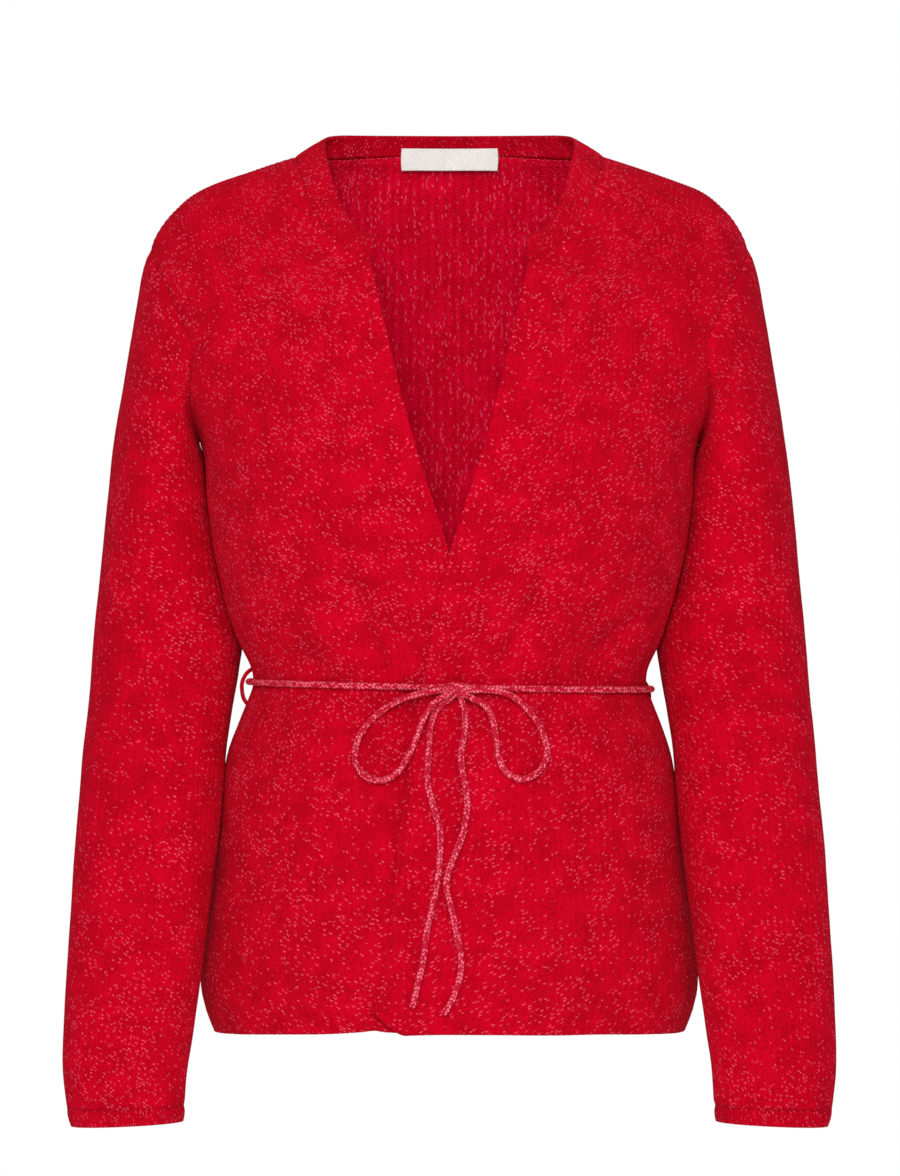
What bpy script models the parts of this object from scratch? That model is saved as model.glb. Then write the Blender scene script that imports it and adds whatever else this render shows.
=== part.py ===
"""Wrap cardigan, filled out as if worn, with a cord belt tied in a bow.

Sizes are in millimetres and MM turns them into Blender's metres. The origin is at the level of
the high point of the shoulder, midway between the shoulders. +Z is up and the front faces -Y, so
the wearer's left is at +X. An angle goes round the body: 0 at the centre front, 90 at the
wearer's left side and 180 at the centre back.
"""

import bmesh
import bpy
import numpy as np

MM = 0.001

# Cloth and cord
WALL = 2.5
SEAM_GAP = 0.3
NECKBAND_GAP = 0.6
LAYER_GAP = 1.0
CONTACT_GAP = 1.5
CORD_RADIUS = 2.2
CORD_CLEARANCE = 0.5
EDGE_CLIMB = 9.0
LABEL_WIDTH = 65.0
LABEL_HEIGHT = 15.0
LABEL_THICKNESS = 0.8
LABEL_GAP = 0.5

# Grid of the cloth
ROWS_TO_WAIST = 10
ROWS_TO_UNDERARM = 7
ROWS_TO_V = 4
ROWS_ON_NECK = 7
ROWS_ON_ARMHOLE = ROWS_TO_V + ROWS_ON_NECK
FRONT_COLUMNS = 14
BACK_NECK_COLUMNS = 7
BACK_SHOULDER_COLUMNS = 7
ROW_CROWDING = 1.5

# Shape of the armhole
ARMHOLE_HOLLOW = 32.0
ARMHOLE_LOW_CURVE = 1.35
ARMHOLE_HIGH_CURVE = 1.9

# Heights of the key rows
HEM_HEIGHT = -597.0
WAIST_HEIGHT = -366.0
UNDERARM_EDGE_HEIGHT = -215.0
V_TOP_HEIGHT = -86.0
ARMHOLE_TOP = -73.0
ARMHOLE_BOTTOM = -203.0
NECK_POINT_HEIGHT = -12.0
NECK_BACK_RISE = 5.7

BODY_COLUMNS = ("height", "half_width", "front_depth", "back_depth", "fullness")
BODY = (
    (-604.0, 155.0, 110.0, 106.0, 2.20),
    (-597.0, 157.5, 111.0, 107.0, 2.20),
    (-588.0, 161.0, 113.0, 109.0, 2.20),
    (-576.0, 164.6, 114.5, 110.5, 2.20),
    (-562.0, 166.3, 115.0, 110.5, 2.20),
    (-543.0, 164.6, 115.0, 109.5, 2.20),
    (-510.0, 160.3, 113.5, 107.0, 2.20),
    (-476.0, 156.2, 111.5, 103.5, 2.18),
    (-436.0, 152.2, 107.5, 98.5, 2.15),
    (-409.0, 146.6, 102.5, 93.5, 2.12),
    (-389.0, 138.8, 97.0, 88.5, 2.10),
    (-375.0, 132.4, 92.2, 83.2, 2.10),
    (-366.0, 129.4, 91.3, 82.3, 2.10),
    (-358.0, 129.8, 92.4, 83.0, 2.10),
    (-336.0, 140.3, 99.5, 87.5, 2.12),
    (-309.0, 150.0, 108.0, 91.5, 2.16),
    (-282.0, 156.3, 115.5, 95.0, 2.20),
    (-242.0, 162.6, 121.5, 99.0, 2.22),
    (-203.0, 167.0, 121.5, 101.0, 2.20),
    (-175.0, 183.0, 115.5, 101.0, 2.15),
    (-140.0, 199.0, 104.5, 98.0, 2.08),
    (-100.0, 205.0, 87.5, 91.5, 2.03),
    (-74.0, 200.0, 72.0, 83.5, 2.00),
    (-61.0, 194.5, 64.0, 79.0, 2.00),
    (-48.0, 184.5, 55.5, 73.5, 2.00),
    (-34.0, 166.0, 46.5, 68.0, 2.00),
    (-21.0, 131.0, 37.0, 64.0, 2.00),
    (-12.0, 103.5, 26.0, 61.0, 2.00),
    (-4.0, 79.0, 20.0, 58.0, 2.00),
)

# The free edge of the left front, from the hem to the foot of the neck curve. The right front
# has the same edge mirrored.
EDGE_COLUMNS = ("height", "across")
EDGE = (
    (-600.0, -50.0),
    (-577.0, -49.0),
    (-555.0, -44.0),
    (-536.0, -41.0),
    (-497.0, -36.0),
    (-448.0, -31.5),
    (-428.0, -28.0),
    (-381.0, -22.5),
    (-362.0, -17.5),
    (-341.0, -14.0),
    (-309.0, -8.0),
    (-277.0, 0.5),
    (-203.0, 23.8),
    (-137.0, 40.2),
    (-107.0, 47.3),
    (-86.0, 52.0),
)

# The neck seam on the left front, from the foot of the neck curve to the neck point
NECK_SEAM_COLUMNS = ("height", "across")
NECK_SEAM = (
    (-86.0, 52.0),
    (-79.5, 64.5),
    (-71.5, 74.5),
    (-61.0, 83.5),
    (-45.0, 92.5),
    (-29.0, 98.0),
    (-17.0, 102.2),
    (-12.0, 103.5),
)

# The neckband's free edge, from its front end over the neck point to the centre back. Each point
# is its distance across, its depth and its height.
NECK_EDGE_FRONT = (
    (49.2, -62.0, -67.5),
    (57.0, -60.5, -65.5),
    (64.0, -56.0, -58.5),
    (70.5, -50.5, -48.5),
    (76.0, -41.0, -34.5),
    (80.8, -27.0, -18.0),
    (83.3, -13.0, -7.0),
    (84.0, 0.0, 0.0),
)
NECK_EDGE_BACK = (
    (84.0, 0.0, 0.0),
    (81.5, 15.0, 3.0),
    (74.0, 29.0, 4.8),
    (60.0, 41.0, 5.6),
    (42.0, 48.5, 6.0),
    (22.0, 52.0, 6.2),
    (0.0, 53.0, 6.2),
)

# Soft folds in the fronts and the back. Each runs from a low to a high point, seen from outside,
# with the wearer's left at positive x. A positive rise stands out and a negative one sinks in. The
# columns are low x, low z, high x, high z, width and rise.
FRONT_FOLDS = (
    (-44.0, -358.0, -80.0, -262.0, 8.0, -4.5),
    (-60.0, -358.0, -100.0, -300.0, 11.0, 3.0),
    (-84.0, -353.0, -138.0, -333.0, 6.0, -3.5),
    (-116.0, -350.0, -145.0, -300.0, 12.0, 2.5),
    (33.0, -358.0, 79.0, -268.0, 8.0, -4.0),
    (55.0, -358.0, 92.0, -290.0, 11.0, 3.0),
    (88.0, -358.0, 134.0, -306.0, 9.0, -4.5),
    (118.0, -356.0, 140.0, -318.0, 9.0, 2.0),
    (-98.0, -374.0, -96.0, -425.0, 13.0, 2.5),
    (-56.0, -374.0, -80.0, -510.0, 12.0, -3.0),
    (60.0, -374.0, 66.0, -470.0, 12.0, -2.5),
    (98.0, -374.0, 104.0, -440.0, 12.0, 2.0),
)
BACK_FOLDS = (
    (-100.0, -357.0, -126.0, -300.0, 9.0, -3.5),
    (-66.0, -357.0, -84.0, -270.0, 9.0, -4.0),
    (-28.0, -357.0, -34.0, -285.0, 8.0, -3.0),
    (10.0, -357.0, 12.0, -262.0, 9.0, -3.5),
    (46.0, -357.0, 60.0, -290.0, 8.0, -3.0),
    (84.0, -357.0, 108.0, -275.0, 9.0, -4.0),
    (-82.0, -375.0, -88.0, -450.0, 12.0, -2.5),
    (-20.0, -375.0, -16.0, -480.0, 12.0, -2.5),
    (58.0, -375.0, 68.0, -440.0, 12.0, -2.5),
)

# Rings of the left sleeve from the armhole to the wrist: x and z of its outermost and innermost
# points seen from the front, half its depth, the middle of its depth, and its fullness.
SLEEVE = (
    (199.5, -73.0, 168.5, -203.0, 52.0, 0.0, 2.00),
    (203.0, -81.0, 170.6, -202.6, 52.5, 0.0, 2.00),
    (206.5, -93.0, 170.4, -206.5, 53.0, 1.0, 2.00),
    (210.0, -112.0, 167.0, -213.0, 54.0, 3.5, 2.00),
    (215.8, -144.0, 163.4, -221.5, 55.0, 8.0, 2.05),
    (221.8, -180.0, 160.6, -232.0, 55.5, 13.0, 2.10),
    (227.1, -216.0, 158.0, -247.0, 55.5, 19.0, 2.15),
    (231.3, -249.0, 154.6, -266.0, 54.0, 24.0, 2.20),
    (234.2, -276.0, 151.2, -285.0, 51.5, 27.0, 2.20),
    (236.6, -302.0, 146.2, -307.0, 48.0, 26.5, 2.20),
    (238.9, -328.0, 139.2, -331.0, 43.5, 22.5, 2.20),
    (240.7, -354.0, 141.8, -356.0, 40.5, 14.0, 2.20),
    (242.5, -380.0, 145.4, -381.0, 39.0, 3.0, 2.20),
    (244.8, -409.0, 149.4, -410.0, 38.0, -9.5, 2.20),
    (246.8, -438.0, 150.8, -439.0, 37.0, -21.5, 2.20),
    (248.6, -467.0, 153.4, -468.0, 36.0, -31.5, 2.20),
    (250.2, -497.0, 157.0, -498.0, 35.0, -39.0, 2.20),
    (251.8, -528.0, 160.9, -529.0, 33.5, -45.0, 2.20),
    (253.8, -560.0, 165.0, -560.5, 32.0, -49.0, 2.20),
    (255.2, -591.5, 169.2, -591.5, 30.5, -52.0, 2.20),
    (255.6, -619.2, 173.4, -618.4, 29.0, -54.0, 2.20),
    (253.0, -644.6, 175.2, -642.6, 27.5, -55.5, 2.20),
)
ARMHOLE_BLEND = (1.0, 0.92, 0.78, 0.55, 0.30, 0.12, 0.03)
WRIST_X = (176.0, 250.0)
WRIST_Z = (-652.9, -656.3)
WRIST_HALF_DEPTH = 26.5
WRIST_MIDDLE_Y = -56.0

# Routes of the cord, seen from the front: across, height, and how far it stands off the cloth
# that it would lie on.
BOW_LEFT_ROUTE = (
    (13.4, -367.6, 5.4),
    (26.4, -367.4, 5.6),
    (36.4, -369.4, 5.2),
    (46.7, -376.0, 2.8),
    (55.2, -385.6, 0.9),
    (62.2, -399.0, 0.3),
    (63.6, -410.5, 0.3),
    (57.8, -421.0, 0.3),
    (47.0, -425.4, 0.3),
    (37.0, -421.2, 0.3),
    (32.2, -411.7, 0.3),
    (30.2, -400.0, 0.6),
    (28.2, -387.5, 1.6),
    (22.4, -376.8, 4.0),
    (12.6, -371.8, 6.4),
)
BOW_RIGHT_ROUTE = (
    (-5.0, -367.6, 5.4),
    (-14.5, -368.8, 5.5),
    (-28.0, -372.2, 4.2),
    (-43.0, -380.2, 1.6),
    (-54.5, -391.0, 0.4),
    (-61.2, -403.9, 0.3),
    (-61.7, -413.5, 0.3),
    (-56.5, -422.8, 0.3),
    (-47.3, -426.5, 0.3),
    (-35.8, -422.5, 0.5),
    (-26.8, -410.4, 1.4),
    (-21.4, -398.0, 3.0),
    (-16.0, -384.5, 5.2),
    (-9.4, -375.2, 6.4),
    (-4.0, -371.8, 6.6),
)
TAIL_RIGHT_ROUTE = (
    (0.2, -373.0, 1.2),
    (-7.0, -378.6, 0.6),
    (-12.0, -389.5, 0.3),
    (-13.6, -407.8, 0.3),
    (-14.2, -428.0, 0.3),
    (-10.8, -442.4, 0.3),
    (-6.6, -457.4, 0.3),
    (-6.4, -477.7, 0.3),
    (-8.2, -493.3, 0.3),
    (-11.0, -507.7, 0.3),
    (-14.7, -524.0, 0.3),
    (-17.3, -543.0, 0.3),
    (-19.9, -555.4, 0.3),
    (-24.4, -574.0, 0.3),
)
TAIL_LEFT_ROUTE = (
    (7.6, -373.2, 1.2),
    (10.1, -382.5, 0.5),
    (10.1, -392.8, 0.3),
    (7.5, -407.8, 0.3),
    (8.2, -419.5, 0.3),
    (11.4, -435.9, 0.3),
    (10.8, -449.6, 0.3),
    (7.5, -464.6, 0.5),
    (2.4, -477.0, 1.6),
    (-1.4, -487.5, 2.4),
    (-2.0, -493.3, 2.4),
    (1.0, -507.7, 1.4),
    (4.2, -524.0, 0.5),
    (7.5, -543.0, 0.3),
    (6.2, -555.4, 0.3),
    (1.6, -569.0, 0.3),
    (-4.0, -578.5, 0.3),
)
KNOT_CENTRE = (4.2, -366.6)
KNOT_RADII = (8.4, 5.6, 5.4)
KNOT_PROUD = 3.4
WAIST_TILT = 2.5

# A belt carrier: each point's height above the belt, and how far it stands off the cloth
CARRIER_ROUTE = (
    (8.5, 1.9),
    (4.5, 6.0),
    (-2.0, 7.4),
    (-8.5, 6.4),
    (-14.0, 2.2),
)
CARRIER_RADIUS = 1.3
CARRIER_ANGLES = {"left": 108.0, "right": -90.0}

RED = (0.60, 0.002, 0.022, 1.0)
CORD_RED = (0.66, 0.045, 0.10, 1.0)
LABEL_WHITE = (0.86, 0.84, 0.80, 1.0)


def column(table, names, name):
    """One named column of a table, as an array."""
    return np.array([row[names.index(name)] for row in table])


def smooth(at, known, values):
    """A smooth curve through the values, read at the given places."""
    at = np.asarray(at, dtype=float)
    slopes = np.gradient(values, known)
    i = np.clip(np.searchsorted(known, at) - 1, 0, len(known) - 2)
    step = known[i + 1] - known[i]
    t = np.clip((at - known[i]) / step, 0.0, 1.0)
    rise = (2 * t**3 - 3 * t**2 + 1) * values[i] + (3 * t**2 - 2 * t**3) * values[i + 1]
    lean = (t**3 - 2 * t**2 + t) * slopes[i] + (t**3 - t**2) * slopes[i + 1]
    return rise + lean * step


def ease(value, low, high):
    """0 below low, 1 above high and a soft step between them."""
    t = np.clip((value - low) / (high - low), 0.0, 1.0)
    return t * t * (3 - 2 * t)


def body(name, height):
    """One of the body's sizes at a height."""
    return smooth(height, column(BODY, BODY_COLUMNS, "height"), column(BODY, BODY_COLUMNS, name))


def torso(angle, height):
    """Points of the body's outline, round it by angle and up it by height."""
    s, c = np.sin(np.radians(angle)), np.cos(np.radians(angle))
    n = body("fullness", height)
    reach = (np.abs(s) ** n + np.abs(c) ** n) ** (-1.0 / n)
    depth = np.where(c > 0, body("front_depth", height), body("back_depth", height))
    return np.stack([body("half_width", height) * reach * s, -depth * reach * c, height + 0.0 * s], axis=-1)


def outward(angle, height):
    """The body's outward direction at each point."""
    turn, rise = 0.5, 0.5
    across = torso(angle + turn, height) - torso(angle - turn, height)
    up = torso(angle, height + rise) - torso(angle, height - rise)
    normal = np.cross(across, up)
    return normal / np.linalg.norm(normal, axis=-1, keepdims=True)


def front_angle(across, height):
    """The angle of a point on the front that lies that far across."""
    n = body("fullness", height)
    s = np.clip(across / body("half_width", height), -1.0, 1.0)
    return np.degrees(np.arctan2(s, (1 - np.abs(s) ** n) ** (1.0 / n)))


def folds(points, table):
    """How far the cloth stands out or sinks in at each point."""
    x, z = points[..., 0], points[..., 2]
    total = np.zeros_like(x)
    for low_x, low_z, high_x, high_z, width, rise in table:
        run = np.array([high_x - low_x, high_z - low_z])
        length = np.hypot(*run)
        along = ((x - low_x) * run[0] + (z - low_z) * run[1]) / length
        aside = ((x - low_x) * run[1] - (z - low_z) * run[0]) / length
        fade = ease(along, -8.0, 6.0) * (1 - ease(along, 0.35 * length, 1.1 * length))
        total += rise * fade * np.exp(-((aside / width) ** 2))
    return total


def edge_x(height):
    """How far across the left front's free edge lies at a height."""
    return smooth(height, column(EDGE, EDGE_COLUMNS, "height"), column(EDGE, EDGE_COLUMNS, "across"))


def overlap_lift(points):
    """How far the left front stands off the body, so that it lies on the right front."""
    x, z = points[..., 0], points[..., 2]
    beyond = x + edge_x(np.minimum(z, V_TOP_HEIGHT))
    below = 1 - ease(z, -255.0, -195.0)
    return (WALL + LAYER_GAP) * below * (1 - ease(beyond, 14.0, 62.0))


def cloth(angle, height, side):
    """A piece's outer points and outward directions. Side is left, right or back."""
    base, normal = torso(angle, height), outward(angle, height)
    table = BACK_FOLDS if side == "back" else FRONT_FOLDS
    stand = folds(base, table)
    if side == "left":
        stand = stand + overlap_lift(base)
    return base + normal * stand[..., None], normal


def even_on_body(angle, height, count):
    """Angle and height of evenly spaced points along a path on the body."""
    step = np.linalg.norm(np.diff(torso(angle, height), axis=0), axis=1)
    along = np.concatenate([[0.0], np.cumsum(step)])
    at = np.linspace(0.0, along[-1], count + 1)
    return np.interp(at, along, angle), np.interp(at, along, height)


def armhole(half):
    """Angle and height of the left armhole, from its bottom to its top, at front or back."""
    rise = np.sin(np.linspace(-np.pi / 2, np.pi / 2, 200))
    power = np.where(rise < 0, ARMHOLE_LOW_CURVE, ARMHOLE_HIGH_CURVE)
    hollow = ARMHOLE_HOLLOW * (1 - np.abs(rise) ** power) ** (1 / power) * (1 - 0.12 * rise)
    middle = (ARMHOLE_TOP + ARMHOLE_BOTTOM) / 2
    height = middle + (ARMHOLE_TOP - ARMHOLE_BOTTOM) / 2 * rise
    angle = 90.0 - hollow if half == "front" else 90.0 + hollow
    return even_on_body(angle, height, ROWS_ON_ARMHOLE)


def even(points, count):
    """The same path with its points evenly spaced."""
    step = np.linalg.norm(np.diff(points, axis=0), axis=1)
    along = np.concatenate([[0.0], np.cumsum(step)])
    at = np.linspace(0.0, along[-1], count + 1)
    return np.stack([smooth(at, along, points[:, i]) for i in range(points.shape[1])], axis=1)


def neck_seam_front(count):
    """Angle and height of the left neck seam at the front, from its foot to the neck point."""
    height = column(NECK_SEAM, NECK_SEAM_COLUMNS, "height")
    fine = np.linspace(height[0], height[-1], 200)
    across = smooth(fine, height, column(NECK_SEAM, NECK_SEAM_COLUMNS, "across"))
    angle = front_angle(across, fine)
    angle[-1] = 90.0
    return even_on_body(angle, fine, count)


def rows_about_waist(hem, underarm, count_low, count_mid):
    """Heights of the rows from the hem to the underarm, closest at the hem and the cinched waist."""
    share = np.linspace(0.0, 1.0, count_low + 1)
    low = hem + (WAIST_HEIGHT - hem) * (0.25 * share + 0.75 * share**2 * (3 - 2 * share))
    mid = WAIST_HEIGHT + (underarm - WAIST_HEIGHT) * np.linspace(0.0, 1.0, count_mid + 1) ** ROW_CROWDING
    return np.concatenate([low, mid[1:]])


def left_edge(count_low, count_mid, count_v):
    """Angle and height of the left front's free edge, from the hem to the neck curve."""
    hem = hem_height(front_angle(edge_x(HEM_HEIGHT), HEM_HEIGHT))
    high = np.linspace(UNDERARM_EDGE_HEIGHT, V_TOP_HEIGHT, count_v + 1)[1:]
    height = np.concatenate([rows_about_waist(hem, UNDERARM_EDGE_HEIGHT, count_low, count_mid), high])
    return front_angle(edge_x(height), height), height


def side_edge(count_low, count_mid):
    """Angle and height of the side seam, from the hem to the underarm."""
    height = rows_about_waist(HEM_HEIGHT, ARMHOLE_BOTTOM, count_low, count_mid)
    return np.full(len(height), 90.0), height


def hem_height(angle):
    """The hem rides a little higher at the front, and more at the front corners."""
    front = np.cos(np.radians(np.clip(angle, -90.0, 90.0))) ** 2
    corner = 1 - ease(angle, -18.0, -10.0)
    return HEM_HEIGHT + 6.0 * front + 13.0 * corner


def shoulder(count):
    """Angle and height of the shoulder seam, from the neck point to the armhole."""
    ridge_height = np.linspace(ARMHOLE_TOP, NECK_POINT_HEIGHT, 200)
    ridge_x = body("half_width", ridge_height)
    x = np.linspace(ridge_x[-1], ridge_x[0], count + 1)
    height = np.interp(x, ridge_x[::-1], ridge_height[::-1])
    return np.full(count + 1, 90.0), height


def fill(left, right, top_turn, top_rise, low_rows):
    """Fills a panel row by row between its two edges, each a list of angle and height.

    Columns are evenly spread up to the underarm. Above it they ease over to the shares of the way
    across at which they meet the top edge, which top_turn and top_rise give for angle and height.
    """
    u = np.linspace(0.0, 1.0, len(top_turn))[None, :]
    above = np.clip((np.arange(len(left)) - low_rows) / (len(left) - 1.0 - low_rows), 0.0, 1.0)[:, None]
    turn_share = u + above**2 * (np.asarray(top_turn) - u)
    rise_share = u + above**2 * (np.asarray(top_rise) - u)
    angle = left[:, :1] + (right[:, :1] - left[:, :1]) * turn_share
    height = left[:, 1:] + (right[:, 1:] - left[:, 1:]) * rise_share
    return np.stack([angle, height], axis=-1)


def ridge_shares(count):
    """How far down the shoulder each of its evenly spaced columns lies, as a share."""
    height = shoulder(count)[1]
    return (height - height[0]) / (height[-1] - height[0])


def front_patch():
    """Angle and height of the left front's grid: rows from the hem up, columns from its free edge."""
    edge = np.column_stack(left_edge(ROWS_TO_WAIST, ROWS_TO_UNDERARM, ROWS_TO_V))
    neck = np.column_stack(neck_seam_front(ROWS_ON_NECK))
    side = np.column_stack(side_edge(ROWS_TO_WAIST, ROWS_TO_UNDERARM))
    left = np.concatenate([edge, neck[1:]])
    right = np.concatenate([side, np.column_stack(armhole("front"))[1:]])
    even_share = np.linspace(0.0, 1.0, FRONT_COLUMNS + 1)
    patch = fill(left, right, even_share, ridge_shares(FRONT_COLUMNS), len(side) - 1)
    fade = 1 - ease(np.arange(len(left)), 0.0, ROWS_TO_WAIST)[:, None]
    level = hem_height(patch[:1, :, 0]) - patch[:1, :, 1]
    patch[..., 1] += fade * level
    return patch


def neck_rise(angle):
    """How much higher than the neck points the back neck seam runs."""
    return NECK_BACK_RISE * ease(angle, 90.0, 175.0)


def back_patch():
    """Angle and height of the back's left half: rows from the hem up, columns from the centre."""
    side = np.column_stack(side_edge(ROWS_TO_WAIST, ROWS_TO_UNDERARM))
    right = np.concatenate([side, np.column_stack(armhole("back"))[1:]])
    above = np.linspace(ARMHOLE_BOTTOM, NECK_POINT_HEIGHT, ROWS_ON_ARMHOLE + 1)[1:]
    centre = np.concatenate([side[:, 1], above])
    left = np.column_stack([np.full(len(centre), 180.0), centre])
    neck_turn = (180.0 - back_neck_seam()[0]) / 90.0
    top_turn = np.concatenate([neck_turn, np.ones(BACK_SHOULDER_COLUMNS)])
    top_rise = np.concatenate([np.zeros(BACK_NECK_COLUMNS), ridge_shares(BACK_SHOULDER_COLUMNS)])
    patch = fill(left, right, top_turn, top_rise, len(side) - 1)
    above = np.clip((np.arange(len(patch)) - len(side) + 1.0) / ROWS_ON_ARMHOLE, 0.0, 1.0)[:, None]
    patch[..., 1] += above**2 * neck_rise(patch[..., 0])
    return patch


def back_neck_seam():
    """Angle and height of the left half of the back neck seam, from the centre to the neck point."""
    angle = np.linspace(180.0, 90.0, 200)
    return even_on_body(angle, NECK_POINT_HEIGHT + neck_rise(angle), BACK_NECK_COLUMNS)


def directions(grid, closed):
    """Outward directions of a grid whose rows go round the piece and whose columns go along it."""
    if closed:
        round_step = np.roll(grid, -1, axis=1) - np.roll(grid, 1, axis=1)
    else:
        round_step = np.gradient(grid, axis=1)
    normal = np.cross(round_step, np.gradient(grid, axis=0))
    return normal / np.linalg.norm(normal, axis=-1, keepdims=True)


def material(name, colour, roughness):
    """A plain cloth material."""
    made = bpy.data.materials.new(name)
    made.use_nodes = True
    shader = made.node_tree.nodes["Principled BSDF"]
    shader.inputs["Base Color"].default_value = colour
    shader.inputs["Roughness"].default_value = roughness
    shader.inputs["Metallic"].default_value = 0.0
    return made


def add_object(name, mesh, colour, roughness=0.9):
    """Puts a mesh in the scene with its own material."""
    piece = bpy.data.objects.new(name, mesh)
    bpy.context.scene.collection.objects.link(piece)
    mesh.materials.append(material(name, colour, roughness))
    return piece


def solid_from_faces(name, points, faces, colour):
    """A closed solid from points in millimetres and faces, with its faces turned outward."""
    made = bmesh.new()
    verts = [made.verts.new(tuple(float(c) * MM for c in point)) for point in points]
    for face in faces:
        made.faces.new([verts[i] for i in face])
    bmesh.ops.recalc_face_normals(made, faces=made.faces)
    mesh = bpy.data.meshes.new(name)
    made.to_mesh(mesh)
    made.free()
    mesh.shade_smooth()
    mesh.set_sharp_from_angle(angle=np.radians(50.0))
    return add_object(name, mesh, colour)


def wall(name, outer, inner, closed, colour):
    """A cloth wall between an outer and an inner grid of the same size. Closed walls go all round."""
    rows, columns = outer.shape[:2]
    points = np.concatenate([outer.reshape(-1, 3), inner.reshape(-1, 3)])
    shift = rows * columns
    last = columns if closed else columns - 1
    faces = []
    for r in range(rows - 1):
        for c in range(last):
            d = (c + 1) % columns
            a, b, e, f = r * columns + c, r * columns + d, (r + 1) * columns + d, (r + 1) * columns + c
            faces += [(a, b, e, f), (shift + a, shift + f, shift + e, shift + b)]
    for r in (0, rows - 1):
        for c in range(last):
            a, b = r * columns + c, r * columns + (c + 1) % columns
            faces.append((a, b, shift + b, shift + a))
    if not closed:
        for c in (0, columns - 1):
            for r in range(rows - 1):
                a, b = r * columns + c, (r + 1) * columns + c
                faces.append((a, b, shift + b, shift + a))
    return solid_from_faces(name, points, faces, colour)


def part_seams(points, patch, side):
    """Moves a piece's side and shoulder seam points back by half a seam gap."""
    away = 1.0 if side == "back" else -1.0
    on_seam = np.abs(np.abs(patch[..., 0]) - 90.0) < 0.001
    points[..., 1] += away * SEAM_GAP / 2 * on_seam
    return points


def front(name, side):
    """One front. The left one lies on top and the right one is its mirror image beneath."""
    patch = front_patch()
    if side == "right":
        patch = patch[:, ::-1] * np.array([-1.0, 1.0])
    outer, normal = cloth(patch[..., 0], patch[..., 1], side)
    outer = part_seams(outer, patch, side)
    return wall(name, outer, outer - normal * WALL, False, RED)


def back(name):
    """The back, from side seam to side seam."""
    half = back_patch()
    other = half[:, ::-1] * np.array([-1.0, 1.0])
    other[:, -1, 0] = 180.0
    patch = np.concatenate([other[:, :-1], half], axis=1)
    patch[:, :other.shape[1] - 1, 0] += 360.0
    outer, normal = cloth(patch[..., 0], patch[..., 1], "back")
    seam_patch = patch.copy()
    seam_patch[..., 0] = np.where(patch[..., 0] > 180.0, patch[..., 0] - 360.0, patch[..., 0])
    outer = part_seams(outer, seam_patch, "back")
    return wall(name, outer, outer - normal * WALL, False, RED)


def armhole_ring():
    """The left sleeve's first ring: outer points, directions and angle round the ring."""
    front_half = np.column_stack(armhole("front"))[::-1]
    back_half = np.column_stack(armhole("back"))
    ring = np.concatenate([front_half, back_half[1:-1]])
    points, normal = cloth(ring[:, 0], ring[:, 1], "left")
    rise = (2 * ring[:, 1] - ARMHOLE_TOP - ARMHOLE_BOTTOM) / (ARMHOLE_TOP - ARMHOLE_BOTTOM)
    turn = np.arccos(np.clip(rise, -1.0, 1.0))
    turn[len(front_half):] = 2 * np.pi - turn[len(front_half):]
    return points, normal, turn


def sleeve_ring(row, turn):
    """Points of one of the sleeve's own rings, from its outermost point round by the front."""
    outer_x, outer_z, inner_x, inner_z, half_depth, middle_y, fullness = row
    c, s = np.cos(turn), np.sin(turn)
    reach = (np.abs(c) ** fullness + np.abs(s) ** fullness) ** (-1.0 / fullness)
    middle = np.array([(outer_x + inner_x) / 2, middle_y, (outer_z + inner_z) / 2])
    half = np.array([(outer_x - inner_x) / 2, 0.0, (outer_z - inner_z) / 2])
    forward = np.array([0.0, -half_depth, 0.0])
    return middle + (reach * c)[:, None] * half + (reach * s)[:, None] * forward


def beside_body(rings):
    """Keeps a sleeve's rings off the body's outline where the sleeve hangs against it."""
    x, y, z = rings[..., 0], rings[..., 1], rings[..., 2]
    depth = np.where(y < 0.0, body("front_depth", z), body("back_depth", z))
    n = body("fullness", z)
    across = np.minimum(np.abs(y) / depth, 0.97)
    side_x = body("half_width", z) * (1 - across**n) ** (1 / n)
    slope = body("half_width", z) / depth * across ** (n - 1) * (1 - across**n) ** (1 / n - 1)
    edge = np.stack([side_x, y, z], axis=-1)
    stand = np.maximum(folds(edge, FRONT_FOLDS), folds(edge * np.array([-1.0, 1.0, 1.0]), FRONT_FOLDS))
    clear = CONTACT_GAP + np.maximum(stand, 0.0) * (1 - ease(y, -2.0, 6.0))
    limit = side_x + clear * np.sqrt(1 + slope**2)
    limit = np.where(z < ARMHOLE_BOTTOM - 1.0, limit, -1000.0)
    moved = rings.copy()
    moved[1:, :, 0] = np.maximum(x, limit)[1:]
    return moved


def sleeve_rings():
    """The left sleeve's outer rings and directions, armhole first, and the cuff's two rings."""
    seam, seam_normal, turn = armhole_ring()
    own_first = sleeve_ring(SLEEVE[0], turn)
    rings = []
    for number, row in enumerate(SLEEVE):
        share = ARMHOLE_BLEND[number] if number < len(ARMHOLE_BLEND) else 0.0
        rings.append(sleeve_ring(row, turn) + share * (seam - own_first))
    rings = beside_body(np.array(rings))
    wrist_row = (WRIST_X[1], WRIST_Z[1], WRIST_X[0], WRIST_Z[0], WRIST_HALF_DEPTH, WRIST_MIDDLE_Y, 2.2)
    wrist = sleeve_ring(wrist_row, turn)
    normal = directions(np.concatenate([rings, wrist[None]]), True)
    normal[0] = seam_normal
    tangent = np.roll(seam, -1, axis=0) - np.roll(seam, 1, axis=0)
    away = np.cross(tangent, seam_normal)
    away /= np.linalg.norm(away, axis=1, keepdims=True)
    away *= np.sign(np.sum(away * (seam - seam.mean(axis=0)), axis=1))[:, None] * -1.0
    rings[0] = seam + away * SEAM_GAP
    return rings, wrist, normal


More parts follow.
